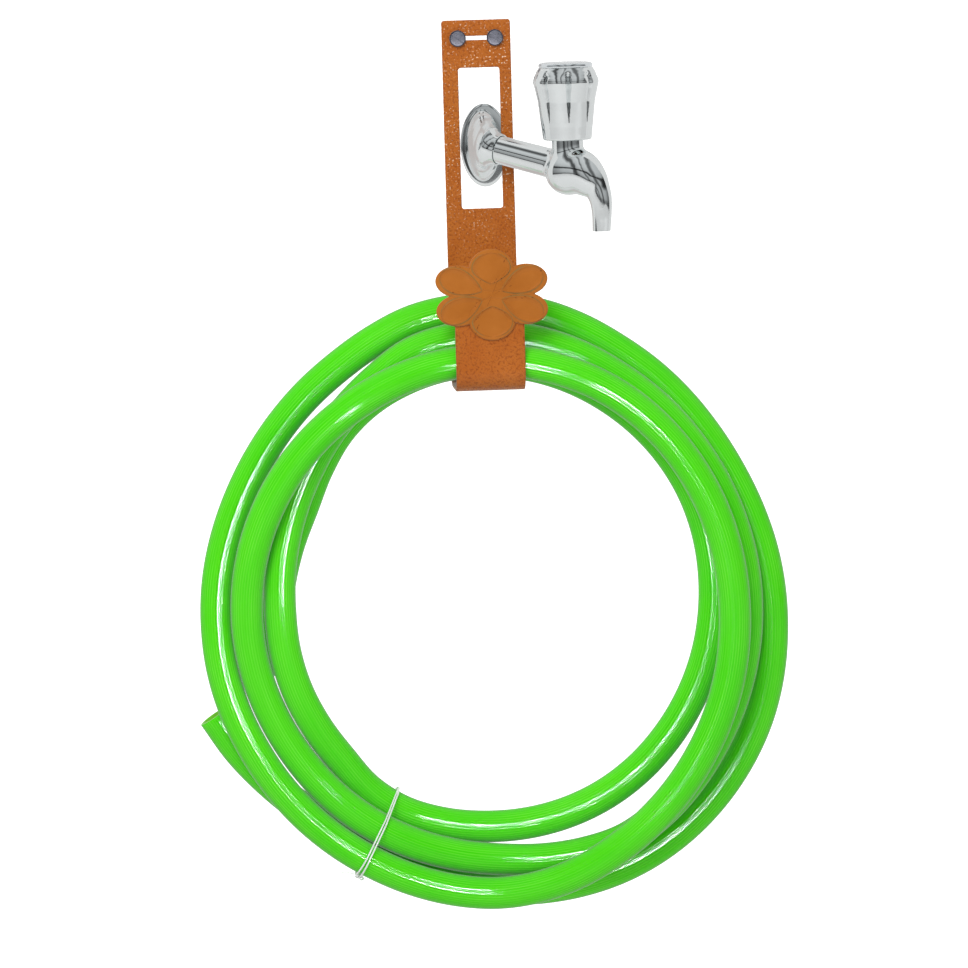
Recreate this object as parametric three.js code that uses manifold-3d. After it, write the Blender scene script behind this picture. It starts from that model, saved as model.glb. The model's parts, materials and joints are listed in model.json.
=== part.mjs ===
// Wall hose hanger with a coiled garden hose, its tie, two fixing screws with wall plugs, and the bib tap behind it.
// Millimetres, +Z up, the wall behind (+Y), the front towards -Y.
// The origin lies on the back face of the strap, on its centre line, in the web between the screw slot and the window.
import * as THREE from "three";
import Module from "manifold-3d";
import { mergeVertices } from "three/addons/utils/BufferGeometryUtils.js";

const wasm = await Module();
wasm.setup();

const FIT = 0.3; // working gap between pieces that touch in the real object
const PAST = 1; // how far a cutter runs past the face it opens

// ---- strap -----------------------------------------------------------------------------------------------------
const WALL_Y = 2.4; // wall plane; the plug collars and the tap flange hold the strap this far off it
const STRAP_W = 47;
const STRAP_T = 3;
const STRAP_TOP = 23.3;
const STRAP_CORNER = 2;
const SLOT_Z = 11;
const SLOT_H = 2.8;
const SCREW_HOLE_R = 2.3;
const SEAT_R = 5.1; // round recess in the strap's back that takes a plug collar
const SEAT_DEPTH = 0.5;
const WINDOW_X = 1.3;
const WINDOW_W = 28.2;
const WINDOW_TOP = -9.2;
const WINDOW_H = 96;
const WINDOW_CORNER = 1.6;
const HOOK_BOTTOM = -225.9; // underside of the hook
const HOOK_REACH = 59.2; // back face of the strap to the front face of the lip
const HOOK_BEND = 14; // outside radius of both bends
const LIP_TOP = -149;

// ---- flower ----------------------------------------------------------------------------------------------------
const FLOWER_X = 1.8;
const FLOWER_Z = -160;
const FLOWER_T = 1.6;
const FLOWER_HUB = 15;
const PETAL_RIM = 1.5;
const PETAL_RIM_H = 0.8;
const PETAL_INSET = 2.2;
const PETALS = [
  // centre across, centre up, half length, half width, turn in degrees
  [0, 16.8, 15.2, 14.4, 0],
  [0, -16.6, 15.8, 14.2, 0],
  [22.6, 9.7, 15.4, 10.8, 4],
  [-22.6, 9.7, 15.4, 10.8, -4],
  [22.4, -9.7, 15.4, 10.8, -4],
  [-22.4, -9.7, 15.4, 10.8, 4],
];

// ---- fixings ---------------------------------------------------------------------------------------------------
const SCREW_X = 12.7;
const SCREW_HEAD_R = 5.6;
const SCREW_HEAD_H = 3.2;
const SCREW_SHANK_R = 2;
const SCREW_LENGTH = 34;
const SCREW_POINT = 4;
const SCREW_SLOT_W = 1.2;
const SCREW_SLOT_D = 1.4;
const SCREW_TURN = [0.7, 0.85]; // angle of each driving slot, radians
const PLUG_R = 3.5;
const PLUG_BORE_R = 2.3;
const PLUG_LENGTH = 32;
const PLUG_COLLAR_R = 4.8;
const PLUG_SLIT_W = 1.2;
const PLUG_SLIT_L = 20;

// ---- hose ------------------------------------------------------------------------------------------------------
const HOSE_R = 11;
const HOSE_BORE_R = 8.3;
const HOSE_SIDES = 5; // half the number of flats round the hose
const HOSE_STEPS = 150;
const COIL_X = -0.2;
const COIL_Z = -378.1;
const COIL_LEAN_X = -0.07; // the coil leans: each millimetre off the wall moves it this far sideways
const COIL_LEAN_Z = 0.105; // and this far up
// The lay of the hose: angle round the coil in degrees (90 is the hook, growing anticlockwise from the front),
// radius of the loop, and distance of the hose axis from the wall. It starts at the free tail on the left.
const LAY = [
  [199.8, 204, 11.4], [222, 191.5, 11.4], [240, 187, 11.4], [270, 196.5, 11.4], [300, 204, 11.4],
  [330, 201.5, 11.4], [360, 192.6, 11.4], [390, 187.6, 11.4], [420, 194.5, 13], [438, 202, 16.7],
  [450, 203.8, 16.8], [463, 203, 16.9], [480, 195, 20], [510, 187.5, 25], [540, 187.5, 29],
  [556, 188.4, 31.6], [570, 188.8, 33.2], [600, 193, 34.4], [630, 197.8, 36], [645, 194, 42.1],
  [660, 186.6, 46.3], [690, 174.2, 47], [720, 166, 49], [750, 165, 51], [780, 167.4, 50.8],
  [796, 167.8, 47.8], [809, 167.9, 47.2], [822, 167.6, 47.9], [840, 166, 55.8], [870, 165.8, 51.5],
  [900, 166.4, 40], [930, 166.6, 29.8], [960, 170.4, 28.4], [990, 175.2, 20.8], [1005, 181.2, 21.6],
  [1020, 186.4, 23.4], [1050, 180, 22], [1080, 175.5, 26], [1110, 174.5, 30], [1140, 178.5, 30],
  [1155, 182.5, 30.3], [1170, 184.4, 30.4], [1184, 182.6, 30.5], [1200, 170, 32.1], [1230, 152, 33],
  [1260, 143.6, 34], [1275, 144, 33], [1290, 144.5, 29], [1305, 147, 21], [1320, 153.6, 12.4],
  [1350, 152.8, 12], [1380, 153, 12.2], [1410, 152, 12.2], [1440, 153.6, 12.4], [1470, 159, 12.2],
  [1500, 163.8, 12.4], [1516, 166.4, 16.7], [1528, 167.3, 16.8], [1540, 167.6, 16.8],
  [1552, 165.6, 12.8], [1565, 161.4, 11.4], [1590, 146, 11.4], [1606, 145, 11.4], [1620, 146.7, 11.4],
  [1636, 150.6, 11.4],
];

// ---- tie -------------------------------------------------------------------------------------------------------
const TIE_ANGLE = 241; // where the cord goes round the bundle
const TIE_CORD_R = 0.8;
const TIE_GAP = 2.3; // cord axis to hose surface, at its closest
const TIE_STAGGER = 0.95; // the two turns pass over and under each other by this much
const TIE_SPREAD = 1.6; // and lie this far each side of the middle
const TIE_BLEND = 1.5; // how sharply the cord changes from one pass of the hose to the next
const TIE_STEPS = 96;
const TIE_SIDES = 3; // half the number of flats round the cord
const KNOT_R = 2.6;
const KNOT_TAILS = [
  [-9, 4, -6], [-13, -1, 3],
];

// ---- tap -------------------------------------------------------------------------------------------------------
const TAP_X = 4.2;
const TAP_Z = -62.3;
const TAP_YAW = THREE.MathUtils.degToRad(55); // the inlet pipe turns this far to the right of straight out
const TAP_DROOP = THREE.MathUtils.degToRad(12.6);
const KNEE_D = 15; // distance from the wall to the corner of the bend
const KNEE_LEN = 10;
const PIPE_REACH = 65.5; // corner of the bend to the valve axis
const VALVE_RISE = 2.5; // the valve's own zero height above the end of the pipe's axis
// The pipe's outside: distance past the corner of the bend, radius.
const PIPE_SIZES = [[5, 8.5], [12, 9.6], [PIPE_REACH, 10.2]];
const PIPE_R = PIPE_SIZES[0][1];
const PIPE_BORE_R = 5.6;
const DIP_R = 3.6; // bore of the passage from the pipe down to the room under the seat
const PIPE_STEPS = 26;
const THREAD_R = 10.2;
const THREAD_LENGTH = 14;
const TAP_SIDES = 9; // half the number of flats round a pipe
const TURN_SIDES = 22;

const FLANGE_R = 28.4; // half height of the oval wall flange
const FLANGE_OVAL = 0.585; // its width as a share of its height
// The flange's neck turns with the pipe. Each ring: sideways from the tap's axis, distance off the wall, turn towards
// the pipe in degrees, half width, half height.
const FLANGE_NECK = [
  [-1.5, 1, 0, 11.6, 24], [-1.5, 3.6, 0, 11.5, 23.6], [-1.2, 6.2, 4, 11.2, 21.8], [-0.5, 8.6, 18, 11.1, 19],
  [0.8, 12, 38, 12, 16], [1.5, 16, 55, 13.7, 13.7],
  [2.7, 16.9, 55, 13.7, 13.7], [4, 17.8, 55, 12.3, 12.3], [6.4, 19.5, 55, 11.1, 11.1], [8.8, 21.2, 55, 10.6, 10.6],
];
const FLANGE_SIDES = 28;

const NECK_R = 10.7;
const NECK_TOP = 17; // heights in the valve are measured from its own zero height
const NECK_BORE_R = 8.1;
const SEAT_Z = -3;
const SEAT_T = 2.6;
const SEAT_HOLE_R = 4.6;
const CHAMBER = [
  [0, -19.9], [6, -19.2], [11.2, -16.4], [14.2, -11.5], [15.2, -5], [14.6, 1], [12.2, 7.5], [10.9, 11.5],
  [NECK_R, 14], [NECK_R, NECK_TOP], [0, NECK_TOP],
];
const LOWER_ROOM = [
  [0, -15.6], [5, -15], [8.6, -12.4], [9.8, -9], [8.2, -6.4], [SEAT_HOLE_R, SEAT_Z - SEAT_T], [0, SEAT_Z - SEAT_T],
];
// The spout: distance out from the valve axis, height, outside radius.
const SPOUT = [
  [0, -4.9, 14.6], [8, -4.8, 15.2], [15.5, -9.4, 12.6], [21, -14.4, 9.4], [24.6, -22.9, 7.8], [25.4, -32.9, 6.8],
  [24.8, -44.8, 6.2],
];
// Its waterway, from the room above the seat to the tip.
const WATERWAY = [
  [4, 2.6, 3.5], [10, 2.4, 4], [16, -2.4, 4.6], [20.6, -10.8, 5.2], [23.8, -21, 5.2], [25.2, -32.9, 4.8],
  [24.8, -44.8, 4.6],
];
const SPOUT_STEPS = 12;
const SPOUT_SIDES = 18;

const GASKET_T = 1;
const BONNET_BOTTOM = 8;
const BONNET_SHANK_R = 7.8;
const BONNET_HEX_R = 10.9;
const BONNET_HEX_Z = 18.5;
const BONNET_HEX_H = 4.5;
const BONNET_BARREL_R = 7;
const BONNET_TOP = 34;
const GUIDE_R = 6;
const GUIDE_TOP = 21;
const STUFFING_R = 4;

const SPINDLE_R = 3.7;
const SPINDLE_STUD_R = 2.6;
const SPINDLE_BOTTOM = 10.4;
const SPINDLE_COLLAR_R = 5.6;
const SPINDLE_COLLAR_Z = 18.4;
const SPINDLE_TOP = 60;
const SPINDLE_TAP_R = 1.6;
const SPINDLE_TAP_D = 12;
const GROOVE_R = 2.9;
const GROOVE_W = 1.2;
const RING_Z = [25, 29];
const RING_MID_R = 3.45;
const RING_CORD_R = 0.42;
const CLIP_Z = BONNET_TOP + FIT;
const CLIP_T = 0.8;
const CLIP_R = 5.5;
const CLIP_GAP_W = 3;

const WASHER_R = 5.9;
const WASHER_T = 3;
const CARRIER_R = 5.6;
const CARRIER_FLANGE_R = 6.3;
const CARRIER_FLANGE_T = 2;
const CARRIER_TOP = 13;
const CARRIER_BORE_R = 2.9;
const CARRIER_BORE_BOTTOM = 5;
const CARRIER_PIN_R = 1.8;
const CARRIER_PIN_BOTTOM = -6.6;
const NUT_R = 3.5;
const NUT_T = 2.4;

const KNOB_BOTTOM = 16.7;
const KNOB_FLUTES = 8;
const KNOB_SIDES = 64;
// The knob's outside: height above its lower edge, radius, depth of the flutes.
const KNOB_RINGS = [
  [0, 15.6, 0], [1, 16.4, 0], [12, 17.7, 0], [20, 18.9, 1], [30, 20.8, 2], [38.6, 22.8, 2.8], [43, 21.9, 2.6],
  [46.6, 19.8, 1.2], [48.9, 18.2, 0.2],
];
const KNOB_SKIRT_R = 13.2;
const KNOB_SKIRT_H = 27;
const KNOB_DRIVE_R = 3.9;
const KNOB_WEB_T = 1;
const KNOB_RECESS_R = 13.6;
const CAP_R = 18.3;
const CAP_T = 2.8;
const CAP_DOME = 0.6;
const CAP_SPIGOT_R = 13.2;
const CAP_SPIGOT_T = 1.7;
const CAP_SPIGOT_H = 2;
const KNOB_SCREW_R = 1.3;
const KNOB_SCREW_HEAD_R = 2.8;
const KNOB_SCREW_HEAD_H = 1.9;
const KNOB_SCREW_LENGTH = 10;

// ---- materials -------------------------------------------------------------------------------------------------
const BROWN_PAINT = { color: 0xb4642a, roughness: 0.45, metalness: 0.2 };
const FLOWER_PAINT = { color: 0xb46c2c, roughness: 0.4, metalness: 0.2 };
const ZINC = { color: 0x7e7e8a, roughness: 0.35, metalness: 0.9 };
const NYLON = { color: 0x9a9a96, roughness: 0.6, metalness: 0 };
const GREEN_VINYL = { color: 0x58e024, roughness: 0.25, metalness: 0 };
const CORD = { color: 0xe6e9e4, roughness: 0.5, metalness: 0 };
const CHROME = { color: 0xd5dadb, roughness: 0.08, metalness: 1 };
const BRASS = { color: 0xc2a050, roughness: 0.35, metalness: 0.9 };
const STEEL = { color: 0x9b9ca0, roughness: 0.3, metalness: 0.9 };
const RUBBER = { color: 0x202021, roughness: 0.8, metalness: 0 };
const FIBRE = { color: 0x8c3b26, roughness: 0.8, metalness: 0 };

const root = new THREE.Group();
root.name = "hose_hanger_with_tap";

// ---- solid helpers ---------------------------------------------------------------------------------------------

// One closed solid from a geometry, turned the right way out.
function solid(geometry) {
  const loose = geometry.index ? geometry.toNonIndexed() : geometry;
  const bare = new THREE.BufferGeometry();
  bare.setAttribute("position", loose.getAttribute("position"));
  const merged = mergeVertices(bare, 1e-4);
  const vertProperties = merged.attributes.position.array;
  const triVerts = new Uint32Array(merged.index.array);
  const made = new wasm.Manifold(new wasm.Mesh({ numProp: 3, vertProperties, triVerts }));
  if (made.volume() > 0) {
    return made;
  }
  for (let i = 0; i < triVerts.length; i += 3) {
    const second = triVerts[i + 1];
    triVerts[i + 1] = triVerts[i + 2];
    triVerts[i + 2] = second;
  }
  return new wasm.Manifold(new wasm.Mesh({ numProp: 3, vertProperties, triVerts }));
}

function join(...solids) {
  return solids.reduce((whole, piece) => whole.add(piece));
}

function cut(whole, ...tools) {
  return tools.reduce((rest, tool) => rest.subtract(tool), whole);
}

// Adds a named mesh made of one solid.
function place(name, made, look, parent = root) {
  const mesh = made.getMesh();
  const geometry = new THREE.BufferGeometry();
  geometry.setAttribute("position", new THREE.BufferAttribute(new Float32Array(mesh.vertProperties), 3));
  geometry.setIndex(new THREE.BufferAttribute(new Uint32Array(mesh.triVerts), 1));
  geometry.computeVertexNormals();
  const node = new THREE.Mesh(geometry, new THREE.MeshStandardMaterial(look));
  node.name = name;
  parent.add(node);
  return node;
}

function vectors(pairs) {
  return pairs.map(([r, h]) => new THREE.Vector2(r, h));
}

// A turned solid about Z: pairs of radius and height.
function turned(profile, sides = TURN_SIDES) {
  return solid(new THREE.LatheGeometry(vectors(profile), sides).rotateX(Math.PI / 2));
}

// A turned solid about an axis that points straight out of the wall: pairs of radius and distance from the wall.
function turnedOut(profile, x, z, sides = TURN_SIDES) {
  const geometry = new THREE.LatheGeometry(vectors(profile), sides).rotateX(Math.PI);
  return solid(geometry.translate(x, WALL_Y, z));
}

function rod(radius, from, to, sides = TURN_SIDES) {
  return turned([[0, from], [radius, from], [radius, to], [0, to]], sides);
}

function tube(outer, inner, from, to, sides = TURN_SIDES) {
  return turned([[inner, from], [outer, from], [outer, to], [inner, to], [inner, from]], sides);
}

// A prism with its outline drawn across and up, from distance `near` to distance `far` in front of the strap's back.
function frontPrism(shape, near, far, curveSegments = 12) {
  const geometry = new THREE.ExtrudeGeometry(shape, { depth: far - near, bevelEnabled: false, curveSegments });
  return solid(geometry.rotateX(Math.PI / 2).translate(0, -near, 0));
}

function roundedRect(width, height, radius) {
  const w = width / 2;
  const h = height / 2;
  const shape = new THREE.Shape();
  shape.moveTo(w, -h + radius);
  shape.lineTo(w, h - radius);
  shape.absarc(w - radius, h - radius, radius, 0, Math.PI / 2, false);
  shape.absarc(-w + radius, h - radius, radius, Math.PI / 2, Math.PI, false);
  shape.absarc(-w + radius, -h + radius, radius, Math.PI, 1.5 * Math.PI, false);
  shape.absarc(w - radius, -h + radius, radius, 1.5 * Math.PI, 2 * Math.PI, false);
  return shape;
}

function disc(radius) {
  return new THREE.Shape().absarc(0, 0, radius, 0, 2 * Math.PI, false);
}

function annulus(outer, inner) {
  const shape = disc(outer);
  shape.holes.push(new THREE.Path().absarc(0, 0, inner, 0, 2 * Math.PI, true));
  return shape;
}

function swept(shape, path, steps, curveSegments) {
  return solid(new THREE.ExtrudeGeometry(shape, { steps, extrudePath: path, curveSegments, bevelEnabled: false }));
}

// A closed skin over a stack of rings of points, with a flat end on the first and the last.
function skin(rings) {
  const count = rings[0].length;
  const points = rings.flat();
  const index = [];
  for (let k = 0; k + 1 < rings.length; k += 1) {
    for (let i = 0; i < count; i += 1) {
      const a = k * count + i;
      const b = k * count + ((i + 1) % count);
      index.push(a, b, a + count, b, b + count, a + count);
    }
  }
  for (const [ring, start] of [[rings[0], 0], [rings.at(-1), (rings.length - 1) * count]]) {
    const middle = points.length;
    const centre = ring.reduce((sum, p) => sum.add(p), new THREE.Vector3()).divideScalar(count);
    points.push(centre);
    for (let i = 0; i < count; i += 1) {
      const a = start + i;
      const b = start + ((i + 1) % count);
      index.push(...(start ? [a, b, middle] : [b, a, middle]));
    }
  }
  const geometry = new THREE.BufferGeometry().setFromPoints(points);
  geometry.setIndex(index);
  return solid(geometry);
}

// ---- hanger ----------------------------------------------------------------------------------------------------

// Side view of the bent strip: distance out from its back face, and height.
function stripProfile() {
  const bendZ = HOOK_BOTTOM + HOOK_BEND;
  const inner = HOOK_BEND - STRAP_T;
  const frontX = HOOK_REACH - HOOK_BEND;
  const shape = new THREE.Shape();
  shape.moveTo(0, STRAP_TOP);
  shape.lineTo(0, bendZ);
  shape.absarc(HOOK_BEND, bendZ, HOOK_BEND, Math.PI, 1.5 * Math.PI, false);
  shape.absarc(frontX, bendZ, HOOK_BEND, 1.5 * Math.PI, 2 * Math.PI, false);
  shape.lineTo(HOOK_REACH, LIP_TOP);
  shape.lineTo(HOOK_REACH - STRAP_T, LIP_TOP);
  shape.absarc(frontX, bendZ, inner, 2 * Math.PI, 1.5 * Math.PI, true);
  shape.absarc(HOOK_BEND, bendZ, inner, 1.5 * Math.PI, Math.PI, true);
  shape.lineTo(STRAP_T, STRAP_TOP);
  return shape;
}

function hangerStrap() {
  const bent = new THREE.ExtrudeGeometry(stripProfile(), { depth: STRAP_W, bevelEnabled: false, curveSegments: 8 });
  const turn = new THREE.Matrix4().makeBasis(
    new THREE.Vector3(0, -1, 0),
    new THREE.Vector3(0, 0, 1),
    new THREE.Vector3(1, 0, 0),
  );
  const strip = solid(bent.applyMatrix4(turn).translate(-STRAP_W / 2, 0, 0));
  const height = STRAP_TOP - HOOK_BOTTOM + PAST;
  const outline = frontPrism(roundedRect(STRAP_W, height, STRAP_CORNER), -PAST, HOOK_REACH + PAST, 4)
    .translate([0, 0, STRAP_TOP - height / 2]);
  const slit = roundedRect(2 * SCREW_X, SLOT_H, SLOT_H / 4);
  const slot = frontPrism(slit, -PAST, STRAP_T + PAST, 2).translate([0, 0, SLOT_Z]);
  const ends = [-SCREW_X, SCREW_X].flatMap((x) => [
    frontPrism(disc(SCREW_HOLE_R), -PAST, STRAP_T + PAST, 10).translate([x, 0, SLOT_Z]),
    frontPrism(disc(SEAT_R), -PAST, SEAT_DEPTH, 12).translate([x, 0, SLOT_Z]),
  ]);
  const opening = frontPrism(roundedRect(WINDOW_W, WINDOW_H, WINDOW_CORNER), -PAST, STRAP_T + PAST, 4)
    .translate([WINDOW_X, 0, WINDOW_TOP - WINDOW_H / 2]);
  place("hanger_strap", cut(strip.intersect(outline), slot, opening, ...ends), BROWN_PAINT);
}

function petalShape([x, z, long, wide, turn], inset) {
  const angle = THREE.MathUtils.degToRad(turn);
  return new THREE.Shape().absellipse(x, z, long - inset, wide - inset, 0, 2 * Math.PI, false, angle);
}

function petalHole([x, z, long, wide, turn], inset) {
  const angle = THREE.MathUtils.degToRad(turn);
  return new THREE.Path().absellipse(x, z, long - inset, wide - inset, 0, 2 * Math.PI, true, angle);
}

function flowerPlate() {
  const back = HOOK_REACH + FIT;
  const front = back + FLOWER_T;
  const hub = frontPrism(disc(FLOWER_HUB), back, front, 12);
  const leaves = PETALS.map((petal) => frontPrism(petalShape(petal, 0), back, front, 12));
  const rims = PETALS.map((petal) => {
    const ring = petalShape(petal, PETAL_INSET);
    ring.holes.push(petalHole(petal, PETAL_INSET + PETAL_RIM));
    return frontPrism(ring, front - FIT, front + PETAL_RIM_H, 10);
  });
  place("flower_plate", join(hub, ...leaves, ...rims).translate([FLOWER_X, 0, FLOWER_Z]), FLOWER_PAINT);
}

// ---- fixings ---------------------------------------------------------------------------------------------------

function fixingScrew(name, x, turn) {
  const seat = WALL_Y + STRAP_T + FIT;
  const head = seat + SCREW_HEAD_H;
  const tip = seat - SCREW_LENGTH;
  const body = turnedOut(
    [
      [0, tip], [SCREW_SHANK_R, tip + SCREW_POINT], [SCREW_SHANK_R, seat], [SCREW_HEAD_R, seat],
      [SCREW_HEAD_R, head - 1], [SCREW_HEAD_R - 0.8, head - 0.3], [SCREW_HEAD_R - 2, head], [0, head],
    ],
    0,
    0,
  );
  const groove = new THREE.BoxGeometry(3 * SCREW_HEAD_R, 2 * SCREW_SLOT_D, SCREW_SLOT_W).rotateY(turn);
  const driven = cut(body, solid(groove.translate(0, WALL_Y - head, 0)));
  place(name, driven.translate([x, 0, SLOT_Z]), ZINC);
}

function wallPlug(name, x) {
  const collar = WALL_Y + SEAT_DEPTH - FIT;
  const body = turnedOut(
    [
      [PLUG_BORE_R, -PLUG_LENGTH], [PLUG_R - 0.6, -PLUG_LENGTH], [PLUG_R, -PLUG_LENGTH + 3], [PLUG_R, 0],
      [PLUG_COLLAR_R, 0], [PLUG_COLLAR_R, collar], [PLUG_BORE_R, collar], [PLUG_BORE_R, -PLUG_LENGTH],
    ],
    x,
    SLOT_Z,
    20,
  );
  const slit = new THREE.BoxGeometry(PLUG_SLIT_W, PLUG_SLIT_L, 3 * PLUG_R);
  const end = WALL_Y + PLUG_LENGTH + PAST - PLUG_SLIT_L / 2;
  place(name, cut(body, solid(slit.translate(x, end, SLOT_Z))), NYLON);
}

// ---- hose and tie ----------------------------------------------------------------------------------------------

// Smooth value through the lay table at an angle: cubic with slopes taken from the neighbours.
function layAt(angle) {
  const last = LAY.length - 1;
  let i = 0;
  while (i < last - 1 && angle > LAY[i + 1][0]) {
    i += 1;
  }
  const from = LAY[i];
  const to = LAY[i + 1];
  const before = LAY[Math.max(i - 1, 0)];
  const after = LAY[Math.min(i + 2, last)];
  const span = to[0] - from[0];
  const t = (angle - from[0]) / span;
  return [1, 2].map((column) => {
    const slopeFrom = (to[column] - before[column]) / (to[0] - before[0]);
    const slopeTo = (after[column] - from[column]) / (after[0] - from[0]);
    const a = (2 * t - 3) * t * t + 1;
    const b = ((t - 2) * t + 1) * t;
    const c = (3 - 2 * t) * t * t;
    const d = (t - 1) * t * t;
    return a * from[column] + b * span * slopeFrom + c * to[column] + d * span * slopeTo;
  });
}

// A point in the coil from its angle, radius and distance off the wall.
function coilPoint(angle, radius, off) {
  const turn = THREE.MathUtils.degToRad(angle);
  return new THREE.Vector3(
    COIL_X + radius * Math.cos(turn) + COIL_LEAN_X * off,
    WALL_Y - off,
    COIL_Z + radius * Math.sin(turn) + COIL_LEAN_Z * off,
  );
}

class CoilCurve extends THREE.Curve {
  getPoint(t, target = new THREE.Vector3()) {
    const angle = THREE.MathUtils.lerp(LAY[0][0], LAY.at(-1)[0], t);
    const [radius, off] = layAt(angle);
    return target.copy(coilPoint(angle, radius, off));
  }
}

function hose() {
  const path = new CoilCurve();
  path.arcLengthDivisions = 1200;
  place("hose", swept(annulus(HOSE_R, HOSE_BORE_R), path, HOSE_STEPS, HOSE_SIDES), GREEN_VINYL);
}

// The cord round the bundle: a taut line round every pass of the hose, twice round, crossing itself once.
class TieCurve extends THREE.Curve {
  constructor() {
    super();
    this.passes = [];
    for (let angle = TIE_ANGLE; angle < LAY.at(-1)[0]; angle += 360) {
      this.passes.push(layAt(angle));
    }
  }

  getPoint(t, target = new THREE.Vector3()) {
    const turn = 4 * Math.PI * t;
    const reach = HOSE_R + TIE_GAP + TIE_STAGGER * (1 + Math.sin(turn / 2));
    const across = Math.cos(turn);
    const out = Math.sin(turn);
    let total = 0;
    let radius = 0;
    let off = 0;
    const outermost = Math.max(...this.passes.map(([r, d]) => r * across + d * out));
    for (const [r, d] of this.passes) {
      const weight = Math.exp((r * across + d * out - outermost) / TIE_BLEND);
      total += weight;
      radius += weight * r;
      off += weight * d;
    }
    radius = radius / total + reach * across;
    off = off / total + reach * out;
    const middle = coilPoint(TIE_ANGLE, radius, off);
    const along = THREE.MathUtils.degToRad(TIE_ANGLE);
    const side = TIE_SPREAD * Math.cos(turn / 2);
    return target.set(middle.x - side * Math.sin(along), middle.y, middle.z + side * Math.cos(along));
  }
}

function hoseTie() {
  const path = new TieCurve();
  path.arcLengthDivisions = 1600;
  const loop = path.getSpacedPoints(TIE_STEPS).slice(0, TIE_STEPS);
  const round = new THREE.CatmullRomCurve3(loop, true);
  const turns = swept(disc(TIE_CORD_R), round, TIE_STEPS, TIE_SIDES);
  const start = path.getPoint(0.02);
  const knot = solid(new THREE.IcosahedronGeometry(KNOT_R, 1).scale(1, 0.7, 1).translate(start.x, start.y, start.z));
  const tails = KNOT_TAILS.map(([x, y, z]) => {
    const end = start.clone().add(new THREE.Vector3(x, y, z));
    const middle = start.clone().lerp(end, 0.5).add(new THREE.Vector3(0, 0, 2));
    return swept(disc(TIE_CORD_R * 0.8), new THREE.QuadraticBezierCurve3(start, middle, end), 5, TIE_SIDES);
  });
  place("hose_tie", join(turns, knot, ...tails), CORD);
}

// ---- tap -------------------------------------------------------------------------------------------------------

const WALL_CENTRE = new THREE.Vector3(TAP_X, WALL_Y, TAP_Z);
const OUTWARD = new THREE.Vector3(0, -1, 0);
const UP = new THREE.Vector3(0, 0, 1);
const AHEAD = new THREE.Vector3(Math.sin(TAP_YAW), -Math.cos(TAP_YAW), 0);
const PIPE_WAY = AHEAD.clone().multiplyScalar(Math.cos(TAP_DROOP)).setZ(-Math.sin(TAP_DROOP));
const KNEE = WALL_CENTRE.clone().addScaledVector(OUTWARD, KNEE_D);
const PIPE_END = KNEE.clone().addScaledVector(PIPE_WAY, PIPE_REACH);
const VALVE = PIPE_END.clone().add(new THREE.Vector3(0, 0, VALVE_RISE));

// Value between the rows of a table of distance and size, level past both ends.
function sizeAt(rows, at) {
  const next = rows.findIndex(([distance]) => distance > at);
  if (next <= 0) {
    return next === 0 ? rows[0][1] : rows.at(-1)[1];
  }
  const [from, small] = rows[next - 1];
  const [to, large] = rows[next];
  return THREE.MathUtils.mapLinear(at, from, to, small, large);
}

// An oval ring of points from its middle, its two directions and the reach along each.
function ringAround(middle, side, rise, across, up, sides) {
  return Array.from({ length: sides }, (_, i) => {
    const a = (2 * Math.PI * i) / sides;
    return middle.clone().addScaledVector(side, across * Math.cos(a)).addScaledVector(rise, up * Math.sin(a));
  });
}

// The inlet's centre line, from a distance off the wall to a distance short of the valve axis.
function inletPath(from, short) {
  const start = WALL_CENTRE.clone().addScaledVector(OUTWARD, from);
  const bendIn = KNEE.clone().addScaledVector(OUTWARD, -KNEE_LEN);
  const bendOut = KNEE.clone().addScaledVector(PIPE_WAY, KNEE_LEN);
  const end = PIPE_END.clone().addScaledVector(PIPE_WAY, -short);
  const path = new THREE.CurvePath();
  path.add(new THREE.LineCurve3(start, bendIn));
  path.add(new THREE.QuadraticBezierCurve3(bendIn, KNEE, bendOut));
  path.add(new THREE.LineCurve3(bendOut, end));
  return path;
}

// The pipe's outside, or with `extra` a skin that far outside it.
function pipeSkin(from, short, extra, sides) {
  const path = inletPath(from, short);
  const rings = path.getSpacedPoints(PIPE_STEPS).map((middle, k) => {
    const way = path.getTangentAt(k / PIPE_STEPS);
    const side = new THREE.Vector3().crossVectors(way, UP).normalize();
    const rise = new THREE.Vector3().crossVectors(side, way);
    const along = middle.clone().sub(KNEE).dot(PIPE_WAY);
    const radius = extra + sizeAt(PIPE_SIZES, middle.y > KNEE.y ? 0 : along);
    return ringAround(middle, side, rise, radius, radius, sides);
  });
  return skin(rings);
}

// A tapering sweep in the upright plane that holds the pipe, drawn on past its end by `extra`.
function spoutSolid(rows, extra) {
  const line = new THREE.SplineCurve(rows.map(([out, up]) => new THREE.Vector2(out, up)));
  const size = new THREE.SplineCurve(rows.map(([, , r], i) => new THREE.Vector2(i, r)));
  const rings = [];
  for (let k = 0; k <= SPOUT_STEPS; k += 1) {
    const t = k / SPOUT_STEPS;
    const at = line.getPoint(t);
    const last = k === SPOUT_STEPS;
    const way = last ? new THREE.Vector2(0, -1) : line.getTangent(t); // the end is cut level
    const radius = size.getPoint(t).y;
    const drop = last ? extra : 0;
    const ring = [];
    for (let i = 0; i < SPOUT_SIDES; i += 1) {
      const a = (2 * Math.PI * i) / SPOUT_SIDES;
      const out = at.x - way.y * radius * Math.cos(a) + way.x * drop;
      const up = at.y + way.x * radius * Math.cos(a) + way.y * drop;
      const side = radius * Math.sin(a);
      ring.push(new THREE.Vector3(out * AHEAD.x - side * AHEAD.y, out * AHEAD.y + side * AHEAD.x, up));
    }
    rings.push(ring);
  }
  return skin(rings).translate([VALVE.x, VALVE.y, VALVE.z]);
}

function atValve(made) {
  return made.translate([VALVE.x, VALVE.y, VALVE.z]);
}

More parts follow.
